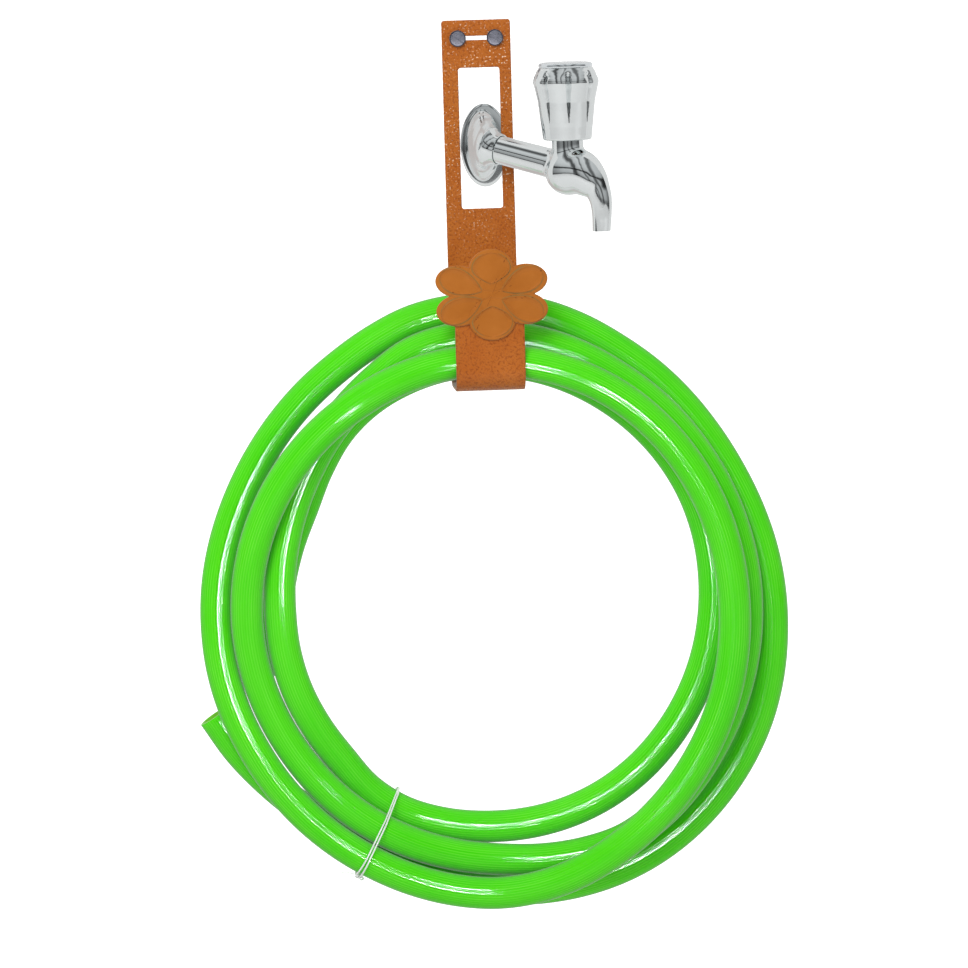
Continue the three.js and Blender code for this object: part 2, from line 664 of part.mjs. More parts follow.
// The waterway in: along the pipe, then down to the room under the seat.
function inletWaterway() {
  const along = inletPath(-THREAD_LENGTH - PAST, 20);
  const pipe = swept(disc(PIPE_BORE_R), along, 22, 8);
  const from = PIPE_END.clone().addScaledVector(PIPE_WAY, -22);
  const turn = VALVE.clone().addScaledVector(AHEAD, -15).addScaledVector(UP, -9);
  const to = VALVE.clone().addScaledVector(UP, -10.4);
  const dip = swept(disc(DIP_R), new THREE.QuadraticBezierCurve3(from, turn, to), 8, 8);
  return join(pipe, dip);
}

function tapBody() {
  const pipe = pipeSkin(0, 0, 0, 2 * TAP_SIDES);
  const thread = turnedOut(
    [[0, -THREAD_LENGTH], [THREAD_R - 1, -THREAD_LENGTH], [THREAD_R, 1 - THREAD_LENGTH], [THREAD_R, -FIT], [0, -FIT]],
    TAP_X,
    TAP_Z,
  );
  const root0 = turnedOut([[0, -PAST], [PIPE_R, -PAST], [PIPE_R, PAST], [0, PAST]], TAP_X, TAP_Z, 2 * TAP_SIDES);
  const chamber = atValve(turned(CHAMBER));
  const outside = join(pipe, thread, root0, chamber, spoutSolid(SPOUT, 0));
  const valveRoom = atValve(rod(NECK_BORE_R, SEAT_Z, NECK_TOP + PAST));
  const seatHole = atValve(rod(SEAT_HOLE_R, SEAT_Z - SEAT_T - PAST, SEAT_Z + PAST));
  const lowerRoom = atValve(turned(LOWER_ROOM));
  const waterOut = spoutSolid(WATERWAY, PAST);
  place("tap_body", cut(outside, valveRoom, seatHole, lowerRoom, waterOut, inletWaterway()), CHROME);
}

function tapFlange() {
  const profile = [[0, 0], [FLANGE_R, 0], [FLANGE_R, 1], [FLANGE_R - 1.6, 2], [0, 2.1]];
  const plate = new THREE.LatheGeometry(vectors(profile), 40)
    .rotateX(Math.PI)
    .scale(FLANGE_OVAL, 1, 1)
    .translate(TAP_X, WALL_Y, TAP_Z);
  const rings = FLANGE_NECK.map(([across, off, turn, wide, high]) => {
    const yaw = THREE.MathUtils.degToRad(turn);
    const droop = (TAP_DROOP * yaw) / TAP_YAW;
    const level = Math.cos(droop);
    const way = new THREE.Vector3(Math.sin(yaw) * level, -Math.cos(yaw) * level, -Math.sin(droop));
    const side = new THREE.Vector3().crossVectors(way, UP).normalize();
    const rise = new THREE.Vector3().crossVectors(side, way);
    const lower = turn ? (across * Math.tan(TAP_DROOP)) / Math.sin(TAP_YAW) : 0;
    const middle = WALL_CENTRE.clone().add(new THREE.Vector3(across, -off, -lower));
    return ringAround(middle, side, rise, wide, high, FLANGE_SIDES);
  });
  const bore = pipeSkin(-PAST, PIPE_REACH - 16, FIT, 2 * TAP_SIDES);
  place("tap_flange", cut(join(solid(plate), skin(rings)), bore), CHROME);
}

function bonnet(parent) {
  const shank = rod(BONNET_SHANK_R, BONNET_BOTTOM, BONNET_HEX_Z + PAST);
  const hex = rod(BONNET_HEX_R, BONNET_HEX_Z, BONNET_HEX_Z + BONNET_HEX_H, 6);
  const barrel = rod(BONNET_BARREL_R, BONNET_HEX_Z, BONNET_TOP);
  const guide = rod(GUIDE_R, BONNET_BOTTOM - PAST, GUIDE_TOP);
  const stuffing = rod(STUFFING_R, GUIDE_TOP - PAST, BONNET_TOP + PAST);
  place("bonnet", cut(join(shank, hex, barrel), guide, stuffing), BRASS, parent);
  const gasketZ = NECK_TOP + (BONNET_HEX_Z - NECK_TOP - GASKET_T) / 2;
  place("bonnet_gasket", tube(NECK_R - FIT, NECK_BORE_R, gasketZ, gasketZ + GASKET_T), FIBRE, parent);
}

function grooveAt(z) {
  return tube(SPINDLE_R + PAST, GROOVE_R, z - GROOVE_W / 2, z + GROOVE_W / 2);
}

function spindle(parent) {
  const stud = rod(SPINDLE_STUD_R, SPINDLE_BOTTOM, SPINDLE_COLLAR_Z + PAST);
  const collar = rod(SPINDLE_COLLAR_R, SPINDLE_COLLAR_Z, GUIDE_TOP - FIT);
  const stem = rod(SPINDLE_R, SPINDLE_COLLAR_Z, SPINDLE_TOP);
  const tapped = rod(SPINDLE_TAP_R, SPINDLE_TOP - SPINDLE_TAP_D, SPINDLE_TOP + PAST, 16);
  const clipGroove = grooveAt(CLIP_Z + CLIP_T / 2);
  place("spindle", cut(join(stud, collar, stem), tapped, clipGroove, ...RING_Z.map(grooveAt)), BRASS, parent);
  const names = ["spindle_oring_lower", "spindle_oring_upper"];
  RING_Z.forEach((z, i) => {
    const ring = solid(new THREE.TorusGeometry(RING_MID_R, RING_CORD_R, 8, 20));
    place(names[i], ring.translate([0, 0, z]), RUBBER, parent);
  });
  const gap = new THREE.BoxGeometry(2 * CLIP_R, CLIP_GAP_W, 4 * CLIP_T).translate(CLIP_R, 0, CLIP_Z);
  place("spindle_circlip", cut(tube(CLIP_R, GROOVE_R + FIT, CLIP_Z, CLIP_Z + CLIP_T), solid(gap)), STEEL, parent);
}

function valveCarrier(parent) {
  const washerZ = SEAT_Z + 0.2;
  const flangeZ = washerZ + WASHER_T + 0.2;
  const flange = rod(CARRIER_FLANGE_R, flangeZ, flangeZ + CARRIER_FLANGE_T);
  const stem = rod(CARRIER_R, flangeZ, CARRIER_TOP);
  const pin = rod(CARRIER_PIN_R, CARRIER_PIN_BOTTOM, flangeZ + PAST);
  const bore = rod(CARRIER_BORE_R, CARRIER_BORE_BOTTOM, CARRIER_TOP + PAST);
  place("valve_carrier", cut(join(flange, stem, pin), bore), BRASS, parent);
  place("seat_washer", tube(WASHER_R, CARRIER_PIN_R + FIT, washerZ, washerZ + WASHER_T), RUBBER, parent);
  const nutTop = washerZ - 0.2;
  const nut = rod(NUT_R, nutTop - NUT_T, nutTop, 6);
  const hole = rod(CARRIER_PIN_R + FIT, nutTop - NUT_T - PAST, nutTop + PAST);
  place("washer_nut", cut(nut, hole), BRASS, parent);
}

// The knob's fluted outside: V grooves that start at the shoulder and fade towards the lower edge.
function flutedShell() {
  const rings = KNOB_RINGS.map(([height, radius, depth]) => {
    const ring = [];
    for (let i = 0; i < KNOB_SIDES; i += 1) {
      const a = (2 * Math.PI * i) / KNOB_SIDES;
      const phase = Math.abs((((i * KNOB_FLUTES) / KNOB_SIDES + 0.5) % 1) - 0.5) * 2;
      const r = radius - depth * Math.max(0, 1 - 4 * phase);
      ring.push(new THREE.Vector3(r * Math.cos(a), r * Math.sin(a), KNOB_BOTTOM + height));
    }
    return ring;
  });
  return skin(rings);
}

function knob(parent) {
  const top = KNOB_BOTTOM + KNOB_RINGS.at(-1)[0];
  const webTop = SPINDLE_TOP + FIT + KNOB_WEB_T;
  const skirt = rod(KNOB_SKIRT_R, KNOB_BOTTOM - PAST, KNOB_BOTTOM + KNOB_SKIRT_H, 32);
  const drive = rod(KNOB_DRIVE_R, KNOB_BOTTOM, SPINDLE_TOP + FIT);
  const screwHole = rod(KNOB_SCREW_R + FIT, SPINDLE_TOP, webTop + PAST, 16);
  const recess = rod(KNOB_RECESS_R, webTop, top + PAST, 32);
  place("knob", cut(flutedShell(), skirt, drive, screwHole, recess), CHROME, parent);

  const capZ = top + FIT;
  const plate = turned(
    [[0, capZ], [CAP_R, capZ], [CAP_R, capZ + CAP_T - 1], [CAP_R - 1, capZ + CAP_T], [0, capZ + CAP_T + CAP_DOME]],
    40,
  );
  const spigot = tube(CAP_SPIGOT_R, CAP_SPIGOT_R - CAP_SPIGOT_T, capZ - CAP_SPIGOT_H, capZ + PAST, 40);
  place("knob_cap", join(plate, spigot), CHROME, parent);

  const headZ = webTop + 0.2;
  const shank = rod(KNOB_SCREW_R, headZ - KNOB_SCREW_LENGTH, headZ + PAST / 2, 16);
  const head = rod(KNOB_SCREW_HEAD_R, headZ, headZ + KNOB_SCREW_HEAD_H, 16);
  const groove = new THREE.BoxGeometry(3 * KNOB_SCREW_HEAD_R, 0.8, 1.6).translate(0, 0, headZ + KNOB_SCREW_HEAD_H);
  place("knob_screw", cut(join(shank, head), solid(groove)), STEEL, parent);
}

// ---- assembly --------------------------------------------------------------------------------------------------

hangerStrap();
flowerPlate();
fixingScrew("screw_left", -SCREW_X, SCREW_TURN[0]);
fixingScrew("screw_right", SCREW_X, SCREW_TURN[1]);
wallPlug("wall_plug_left", -SCREW_X);
wallPlug("wall_plug_right", SCREW_X);
hose();
hoseTie();
tapBody();
tapFlange();

const valve = new THREE.Group();
valve.name = "valve";
valve.position.copy(VALVE);
root.add(valve);
bonnet(valve);
spindle(valve);
valveCarrier(valve);
knob(valve);

export default root;
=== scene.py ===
"""Looks for the wall hose hanger with its coiled hose and bib tap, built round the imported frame.

Metres, +Z up, the front towards -Y. Forms that are given in millimetres say so.
"""

import json
import math

import bmesh
import bpy
import numpy as np
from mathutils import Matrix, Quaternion, Vector, noise

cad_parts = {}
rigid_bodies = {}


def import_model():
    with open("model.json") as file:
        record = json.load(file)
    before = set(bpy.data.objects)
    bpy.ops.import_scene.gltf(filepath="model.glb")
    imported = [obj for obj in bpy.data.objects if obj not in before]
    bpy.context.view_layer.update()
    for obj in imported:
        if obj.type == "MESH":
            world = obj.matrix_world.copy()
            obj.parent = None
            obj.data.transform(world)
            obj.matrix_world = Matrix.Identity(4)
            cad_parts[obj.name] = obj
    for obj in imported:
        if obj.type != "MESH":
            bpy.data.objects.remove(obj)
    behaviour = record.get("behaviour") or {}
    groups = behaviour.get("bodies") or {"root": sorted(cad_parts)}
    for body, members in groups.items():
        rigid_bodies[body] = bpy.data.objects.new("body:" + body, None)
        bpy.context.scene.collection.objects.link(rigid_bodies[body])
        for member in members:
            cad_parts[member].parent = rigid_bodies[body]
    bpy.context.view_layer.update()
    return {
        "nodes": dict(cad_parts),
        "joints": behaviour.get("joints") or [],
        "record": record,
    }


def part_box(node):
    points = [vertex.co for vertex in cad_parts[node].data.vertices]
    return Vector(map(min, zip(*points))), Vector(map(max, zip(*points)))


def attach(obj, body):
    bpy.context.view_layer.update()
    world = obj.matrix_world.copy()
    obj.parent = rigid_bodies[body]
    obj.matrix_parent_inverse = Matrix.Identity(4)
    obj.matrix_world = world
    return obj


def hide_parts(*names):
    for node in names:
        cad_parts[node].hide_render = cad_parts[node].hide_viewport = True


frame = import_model()
NODES = frame["nodes"]
MM = 0.001
MOUNTS = {m["name"]: m for m in frame["record"]["mounts"]}
JOINTS = {j["name"]: j for j in frame["joints"]}

WALL_Y = 2.4 * MM
OUT = np.array([0.0, -1.0, 0.0])  # the way out of the wall
CAMERA_AZIMUTH = math.radians(-4)
CAMERA_ELEVATION = math.radians(6)
CAMERA_ROLL = math.radians(1.6)
CAMERA_TARGET = Vector((-0.0027, WALL_Y, -0.2945))
CAMERA_DISTANCE = 5.0
FRAME_WIDTH = 0.663  # what the camera takes in at the target


# ---- mesh helpers --------------------------------------------------------------------------------


def new_object(name, verts, faces, smooth=True):
    mesh = bpy.data.meshes.new(name)
    mesh.from_pydata(np.asarray(verts, float).tolist(), [], faces)
    mesh.update()
    mesh.polygons.foreach_set("use_smooth", [smooth] * len(mesh.polygons))
    obj = bpy.data.objects.new(name, mesh)
    bpy.context.scene.collection.objects.link(obj)
    return obj


def round_angles(count):
    return np.arange(count) * 2 * math.pi / count


def circle(angle, radius, height):
    """Points round the Z axis at the given angles."""
    return np.stack([radius * np.cos(angle), radius * np.sin(angle), np.full(len(angle), height)], 1)


def ease(t):
    """A smooth step from 0 to 1."""
    t = np.clip(t, 0, 1)
    return t * t * (3 - 2 * t)


def band(a, b, count):
    """The quads between two rings whose points start at a and b."""
    return [(a + i, a + (i + 1) % count, b + (i + 1) % count, b + i) for i in range(count)]


def loft(name, rings, closed=False, along=None):
    """A skin over a stack of rings, each a list of points that closes on itself.

    With a distance along for each ring, the UV map "lay" holds the share round the ring and that distance.
    """
    rings = np.asarray(rings, float)
    n, m = rings.shape[:2]
    last = n if closed else n - 1
    faces = []
    for k in range(last):
        faces += band(k * m, ((k + 1) % n) * m, m)
    if not closed:
        faces.append(tuple(reversed(range(m))))
        faces.append(tuple((n - 1) * m + i for i in range(m)))
    obj = new_object(name, rings.reshape(-1, 3), faces)
    if along is not None:
        places = np.zeros((len(obj.data.loops), 2), np.float32)
        along = np.asarray(along, float)
        i, k = np.tile(np.arange(m), last), np.repeat(np.arange(last), m)
        left, right = i / m, (i + 1) / m
        near, far = along[k], along[np.minimum(k + 1, n - 1)]
        corners = np.stack([left, near, right, near, right, far, left, far], 1)
        places[: last * m * 4] = corners.reshape(-1, 2)
        obj.data.uv_layers.new(name="lay").data.foreach_set("uv", places.ravel())
    fix_normals(obj)
    return obj


def fix_normals(obj):
    bm = bmesh.new()
    bm.from_mesh(obj.data)
    bmesh.ops.recalc_face_normals(bm, faces=bm.faces)
    if bm.calc_volume(signed=True) < 0:
        bmesh.ops.reverse_faces(bm, faces=bm.faces)
    bm.to_mesh(obj.data)
    bm.free()


def turned(name, profile, centre=(0, 0, 0), axis="Z", sides=96, oval=1.0):
    """A lathe form about Z, or about the way out of the wall.

    The profile is pairs of radius and height in millimetres. It ends on the axis, or closes on itself.
    """
    angle = round_angles(sides)
    closed = profile[0] == profile[-1]
    if closed:
        profile = profile[:-1]
    on_axis = not closed and profile[0][0] == 0 and profile[-1][0] == 0
    rows = profile[1:-1] if on_axis else profile
    n = len(rows)
    verts = np.vstack([circle(angle, r, h) for r, h in rows])
    faces = []
    for k in range(n if closed else n - 1):
        faces += band(k * sides, ((k + 1) % n) * sides, sides)
    if on_axis:
        verts = np.vstack([verts, [[0, 0, profile[0][1]], [0, 0, profile[-1][1]]]])
        low, high = n * sides, n * sides + 1
        top = (n - 1) * sides
        faces += [(low, (i + 1) % sides, i) for i in range(sides)]
        faces += [(high, top + i, top + (i + 1) % sides) for i in range(sides)]
    if axis == "OUT":
        verts = np.stack([verts[:, 0] * oval, -verts[:, 2], verts[:, 1]], 1)
    obj = new_object(name, verts * MM + np.array(centre), faces)
    fix_normals(obj)
    return obj


def rounded(profile, radius, steps=4):
    """Rounds the corners of a profile of radius and height pairs, but not the ends of an open one."""
    out = []
    closed = profile[0] == profile[-1]
    points = profile[:-1] if closed else profile
    n = len(points)
    for i, p in enumerate(points):
        if not closed and i in (0, n - 1):
            out.append(p)
            continue
        a, b = np.array(points[i - 1], float), np.array(points[(i + 1) % n], float)
        c = np.array(p, float)
        la, lb = np.linalg.norm(a - c), np.linalg.norm(b - c)
        cut = min(radius, la * 0.45, lb * 0.45)
        s, e = c + (a - c) / la * cut, c + (b - c) / lb * cut
        for t in np.linspace(0, 1, steps + 1):
            q = (1 - t) ** 2 * s + 2 * t * (1 - t) * c + t * t * e
            out.append((float(q[0]), float(q[1])))
    if closed:
        out.append(out[0])
    return out


def baked(obj, name):
    """A new object holding the mesh with its modifiers applied; the old one is removed."""
    bpy.context.view_layer.update()
    evaluated = obj.evaluated_get(bpy.context.evaluated_depsgraph_get())
    mesh = bpy.data.meshes.new_from_object(evaluated)
    bpy.data.objects.remove(obj)
    mesh.name = name
    made = bpy.data.objects.new(name, mesh)
    bpy.context.scene.collection.objects.link(made)
    return made


def cut_by(obj, *tools):
    name = obj.name
    obj.name = name + ".raw"
    for tool in tools:
        modifier = obj.modifiers.new("cut", "BOOLEAN")
        modifier.operation = "DIFFERENCE"
        modifier.solver = "EXACT"
        modifier.object = tool
    made = baked(obj, name)
    for tool in tools:
        bpy.data.objects.remove(tool)
    return made


def box_object(name, size, centre, turn=0.0):
    """A box cutter: size and centre in millimetres, turned about Y."""
    sx, sy, sz = (s / 2 for s in size)
    c, s = math.cos(turn), math.sin(turn)
    verts = []
    for x, y, z in [(x, y, z) for x in (-sx, sx) for y in (-sy, sy) for z in (-sz, sz)]:
        place = (x * c + z * s + centre[0], y + centre[1], -x * s + z * c + centre[2])
        verts.append([v * MM for v in place])
    faces = [(0, 1, 3, 2), (4, 6, 7, 5), (0, 4, 5, 1), (2, 3, 7, 6), (0, 2, 6, 4), (1, 5, 7, 3)]
    obj = new_object(name, verts, faces, smooth=False)
    fix_normals(obj)
    return obj


def coords(obj):
    flat = np.zeros(len(obj.data.vertices) * 3)
    obj.data.vertices.foreach_get("co", flat)
    return flat.reshape(-1, 3)


def set_coords(obj, co):
    obj.data.vertices.foreach_set("co", np.asarray(co, np.float32).ravel())
    obj.data.update()


def shade(obj, crisp):
    """Smooth shading, with edges sharper than crisp degrees kept crisp."""
    obj.data.shade_smooth()
    bm = bmesh.new()
    bm.from_mesh(obj.data)
    for edge in bm.edges:
        edge.smooth = not (len(edge.link_faces) == 2 and edge.calc_face_angle(0) > math.radians(crisp))
    bm.to_mesh(obj.data)
    bm.free()


def add_remesh(obj, voxel):
    """Makes one even skin of the mesh; the voxel is in millimetres."""
    modifier = obj.modifiers.new("remesh", "REMESH")
    modifier.mode = "VOXEL"
    modifier.voxel_size = voxel * MM


def add_smooth(obj, times):
    modifier = obj.modifiers.new("smooth", "SMOOTH")
    modifier.factor = 0.5
    modifier.iterations = times


def noise3(co, scale, seed):
    """Signed noise at each point: one value a point, scale in features per metre."""
    offset = Vector((seed, seed * 0.7, seed * 1.3))
    return np.array([noise.noise(Vector(p) * scale + offset) for p in co])


def smooth_curve(points, step):
    """Evenly spaced points on a curve of cubic pieces through the given ones, and the distance to each."""
    p = np.asarray(points, float)
    p = np.vstack([2 * p[0] - p[1], p, 2 * p[-1] - p[-2]])
    fine = []
    for i in range(1, len(p) - 2):
        for t in np.linspace(0, 1, 24, endpoint=False):
            a = 2 * p[i]
            b = p[i + 1] - p[i - 1]
            c = 2 * p[i - 1] - 5 * p[i] + 4 * p[i + 1] - p[i + 2]
            d = -p[i - 1] + 3 * p[i] - 3 * p[i + 1] + p[i + 2]
            fine.append(0.5 * (a + b * t + c * t * t + d * t**3))
    fine.append(p[-2])
    fine = np.array(fine)
    s = np.concatenate([[0], np.cumsum(np.linalg.norm(np.diff(fine, axis=0), axis=1))])
    count = max(2, int(round(s[-1] / step)) + 1)
    at = np.linspace(0, s[-1], count)
    return np.stack([np.interp(at, s, fine[:, k]) for k in range(3)], 1), at


def carried_frames(path, closed=False):
    """The way along a path, and two directions square to it that are carried along it without twist."""
    if closed:
        tangent = np.roll(path, -1, 0) - np.roll(path, 1, 0)
    else:
        tangent = np.gradient(path, axis=0)
    tangent /= np.linalg.norm(tangent, axis=1)[:, None]
    normal = np.zeros_like(path)
    across = [0.0, 1.0, 0.0] if abs(tangent[0][1]) < 0.9 else [1.0, 0.0, 0.0]
    start = np.cross(tangent[0], across)
    normal[0] = start / np.linalg.norm(start)
    for i in range(1, len(path)):
        n = normal[i - 1] - tangent[i] * (normal[i - 1] @ tangent[i])
        normal[i] = n / np.linalg.norm(n)
    return tangent, normal, np.cross(tangent, normal)


def ellipse(angle, half_sizes, ways):
    """Points round an ellipse, from its middle, with its two half sizes along two ways."""
    return np.outer(np.cos(angle) * half_sizes[0], ways[0]) + np.outer(np.sin(angle) * half_sizes[1], ways[1])


def tube_rings(line, radii, sides):
    """Circles square to a line, one round each of its points."""
    angle = round_angles(sides)
    _, *ways = carried_frames(line)
    return np.array([p + ellipse(angle, (r, r), w) for p, r, *w in zip(line, radii, *ways)])


# ---- materials -----------------------------------------------------------------------------------


class Nodes:
    """A node tree, with short calls for the nodes used here."""

    def __init__(self, tree):
        self.tree = tree

    def node(self, kind, **settings):
        made = self.tree.nodes.new(kind)
        for key, value in settings.items():
            setattr(made, key, value)
        return made

    def feed(self, source, target):
        self.tree.links.new(source, target)

    def ramp(self, source, stops):
        made = self.node("ShaderNodeValToRGB")
        elements = made.color_ramp.elements
        while len(elements) < len(stops):
            elements.new(0.5)
        for element, (at, value) in zip(elements, stops):
            element.position = at
            element.color = (value, value, value, 1) if isinstance(value, (int, float)) else (*value, 1)
        self.feed(source, made.inputs["Fac"])
        return made.outputs["Color"]

    def mix(self, factor, a, b, blend="MIX"):
        made = self.node("ShaderNodeMix", data_type="RGBA", blend_type=blend)
        for key, value in (("Factor", factor), ("A", a), ("B", b)):
            socket = [i for i in made.inputs if i.name == key and i.enabled][0]
            if isinstance(value, (int, float)):
                socket.default_value = value
            elif isinstance(value, tuple):
                socket.default_value = (*value, 1)
            else:
                self.feed(value, socket)
        return [o for o in made.outputs if o.enabled][0]

    def math(self, operation, *values):
        made = self.node("ShaderNodeMath", operation=operation)
        for socket, value in zip(made.inputs, values):
            if isinstance(value, (int, float)):
                socket.default_value = value
            else:
                self.feed(value, socket)
        return made.outputs[0]

    def split(self, vector):
        """The three parts of a vector."""
        made = self.node("ShaderNodeSeparateXYZ")
        self.feed(vector, made.inputs[0])
        return made.outputs

    def mapped(self, vector, **settings):
        """The vector moved by Location, or stretched by Scale."""
        made = self.node("ShaderNodeMapping")
        for key, value in settings.items():
            made.inputs[key].default_value = value
        self.feed(vector, made.inputs["Vector"])
        return made.outputs[0]


class Look(Nodes):
    """A material with a principled shader."""

    def __init__(self, name, color, roughness, metallic=0.0, **inputs):
        self.material = bpy.data.materials.new(name)
        self.material.use_nodes = True
        super().__init__(self.material.node_tree)
        self.shader = self.tree.nodes["Principled BSDF"]
        self.set("Base Color", (*color, 1))
        self.set("Roughness", roughness)
        self.set("Metallic", metallic)
        for key, value in inputs.items():
            self.set(key.replace("_", " "), value)
        self.place = self.node("ShaderNodeTexCoord").outputs["Object"]

    def set(self, key, value):
        self.shader.inputs[key].default_value = value

    def deep(self, weight, radius, scale):
        """Lets light sink in and spread under the surface."""
        self.set("Subsurface Weight", weight)
        self.set("Subsurface Radius", radius)
        self.set("Subsurface Scale", scale)

    def lay(self):
        """The UV map of a lofted piece: share of the way round, and distance along."""
        return self.node("ShaderNodeUVMap", uv_map="lay").outputs[0]

    def noise(self, scale, detail=4, roughness=0.5, vector=None):
        made = self.node("ShaderNodeTexNoise")
        made.inputs["Scale"].default_value = scale
        made.inputs["Detail"].default_value = detail
        made.inputs["Roughness"].default_value = roughness
        self.feed(vector or self.place, made.inputs["Vector"])
        return made.outputs["Fac"]

    def lay_noise(self, scale, detail, roughness=0.5):
        """Noise stretched along the piece; scale is features round it and features a metre along it."""
        return self.noise(1.0, detail, roughness, self.mapped(self.lay(), Scale=(*scale, 1)))

    def bump(self, height, distance, strength=1.0):
        made = self.node("ShaderNodeBump")
        made.inputs["Strength"].default_value = strength
        made.inputs["Distance"].default_value = distance
        if self.shader.inputs["Normal"].links:
            self.feed(self.shader.inputs["Normal"].links[0].from_socket, made.inputs["Normal"])
        self.feed(height, made.inputs["Height"])
        self.feed(made.outputs[0], self.shader.inputs["Normal"])

    def color(self, source):
        self.feed(source, self.shader.inputs["Base Color"])

    def rough(self, source):
        self.feed(source, self.shader.inputs["Roughness"])

    def edges(self, low, high):
        """High where the surface is convex and sharp; the paints use it for painted shade on their edges."""
        geometry = self.node("ShaderNodeNewGeometry")
        return self.ramp(geometry.outputs["Pointiness"], [(low, 0.0), (high, 1.0)])


def vinyl():
    look = Look("green_vinyl", (0.085, 0.68, 0.010), 0.16, Coat_Weight=0.12, Coat_Roughness=0.05)
    look.set("Specular IOR Level", 0.12)
    look.deep(0.06, (0.3, 1.0, 0.2), 0.002)
    blotch = look.ramp(look.noise(9.0, 3, 0.55), [(0.3, 0.0), (0.7, 1.0)])
    tone = look.mix(blotch, (0.046, 0.58, 0.003), (0.070, 0.63, 0.006))
    streak = look.lay_noise((46, 5), 3, 0.6)
    tone = look.mix(look.ramp(streak, [(0.35, 0.0), (0.75, 0.6)]), tone, (0.095, 0.69, 0.014))
    # Painted highlight: paler green along the crests of the ribs, broken up along the hose.
    turn = look.math("MULTIPLY", look.split(look.lay())[0], 2 * math.pi * HOSE_RIBS)
    crest = look.ramp(look.math("COSINE", turn), [(0.25, 0.0), (0.95, 0.55)])
    broken_rib_highlight = look.ramp(look.lay_noise((9, 16), 2), [(0.35, 0.15), (0.65, 1.0)])
    tone = look.mix(look.math("MULTIPLY", crest, broken_rib_highlight), tone, (0.19, 0.78, 0.06))
    # Painted shade: darker green where the tube turns away from view, at its sides and between the passes.
    facing = look.node("ShaderNodeLayerWeight")
    facing.inputs["Blend"].default_value = 0.5
    outline = look.ramp(facing.outputs["Facing"], [(0.42, 0.0), (0.95, 0.9)])
    look.color(look.mix(outline, tone, (0.05, 0.30, 0.010)))
    look.rough(look.ramp(streak, [(0.25, 0.07), (0.8, 0.18)]))
    look.bump(look.lay_noise((150, 60), 2), 0.00014, 0.45)
    return look.material


def vinyl_bore():
    look = Look("green_vinyl_bore", (0.15, 0.50, 0.02), 0.45)
    look.color(look.mix(look.noise(120, 3), (0.12, 0.44, 0.014), (0.2, 0.55, 0.03)))
    look.bump(look.noise(900, 3), 0.0001, 0.3)
    return look.material


# The pale flecks of painted glint on the hammered paint thin out between these two heights.
PAINTED_GLINTS_END = (-0.140, -0.085)


def hammered_paint():
    look = Look("hammered_brown", (0.44, 0.127, 0.022), 0.32, Coat_Weight=0.12, Coat_Roughness=0.12)
    look.set("Specular IOR Level", 0.15)
    broad = look.ramp(look.noise(28, 4, 0.6), [(0.3, 0.0), (0.7, 1.0)])
    tone = look.mix(broad, (0.385, 0.098, 0.012), (0.475, 0.145, 0.024))
    grain = look.noise(640, 3, 0.6)
    # Painted shade: the pits of the hammered grain, its low places, are darkened.
    tone = look.mix(look.ramp(grain, [(0.30, 0.8), (0.52, 0.0)]), tone, (0.20, 0.04, 0.005))
    # Painted glints: pale flecks, thinning out towards the bottom of the strap.
    painted_glint = look.ramp(look.noise(700, 1, 0.4), [(0.625, 0.0), (0.72, 1.0)])
    spread = look.ramp(look.noise(70, 2, 0.5), [(0.34, 0.12), (0.6, 1.0)])
    upper = look.node("ShaderNodeMapRange")
    upper.inputs["From Min"].default_value = PAINTED_GLINTS_END[0]
    upper.inputs["From Max"].default_value = PAINTED_GLINTS_END[1]
    look.feed(look.split(look.place)[2], upper.inputs["Value"])
    spread = look.math("MULTIPLY", spread, upper.outputs[0])
    tone = look.mix(look.math("MULTIPLY", painted_glint, spread), tone, (0.84, 0.62, 0.44))
    # Painted shade: darker brown on the sharp convex edges.
    look.color(look.mix(look.edges(0.53, 0.60), tone, (0.16, 0.035, 0.006)))
    look.rough(look.ramp(grain, [(0.3, 0.42), (0.7, 0.22)]))
    look.bump(grain, 0.0006, 0.5)
    look.bump(look.noise(1500, 2), 0.0001, 0.3)
    return look.material


def flower_paint():
    look = Look("flower_brown", (0.45, 0.15, 0.026), 0.36, Coat_Weight=0.08, Coat_Roughness=0.2)
    look.set("Specular IOR Level", 0.12)
    broad = look.ramp(look.noise(45, 4, 0.6), [(0.3, 0.0), (0.7, 1.0)])
    tone = look.mix(broad, (0.36, 0.112, 0.014), (0.42, 0.138, 0.021))
    # Partly painted highlight, partly worn paint: an olive-grey line along the pressed rims, broken up by
    # noise.
    rim = look.node("ShaderNodeAttribute", attribute_name="rim").outputs["Fac"]
    worn = look.math("MULTIPLY", rim, look.ramp(look.noise(160, 3), [(0.3, 0.45), (0.62, 1.0)]))
    tone = look.mix(worn, tone, (0.20, 0.13, 0.04))
    # Painted shade: darker brown on the sharp convex edges.
    look.color(look.mix(look.edges(0.53, 0.60), tone, (0.14, 0.035, 0.006)))
    look.rough(look.ramp(look.noise(300, 3), [(0.3, 0.28), (0.7, 0.44)]))
    look.bump(look.noise(700, 3), 0.00018, 0.35)
    return look.material


def plated(name, base, tones, rough, smear, ripple):
    """Polished plating with a smeared shine.

    The roughnesses are the plain one, the least and the most. The smear is in features a metre, and so is the
    ripple, with its strength.
    """
    look = Look(name, base, rough[0], 1.0)
    mottled = look.noise(smear, 4, 0.6)
    look.color(look.mix(mottled, *tones))
    look.rough(look.ramp(mottled, [(0.35, rough[1]), (0.75, rough[2])]))
    look.bump(look.noise(ripple[0], 2), 0.00002, ripple[1])
    return look.material


def chrome():
    tones = (0.78, 0.81, 0.82), (0.86, 0.89, 0.89)
    return plated("chrome_plate", (0.82, 0.85, 0.855), tones, (0.06, 0.05, 0.11), 60, (240, 0.2))


def cap_chrome():
    tones = (0.76, 0.80, 0.83), (0.86, 0.90, 0.92)
    return plated("cap_chrome", (0.82, 0.86, 0.88), tones, (0.14, 0.10, 0.22), 90, (900, 0.3))


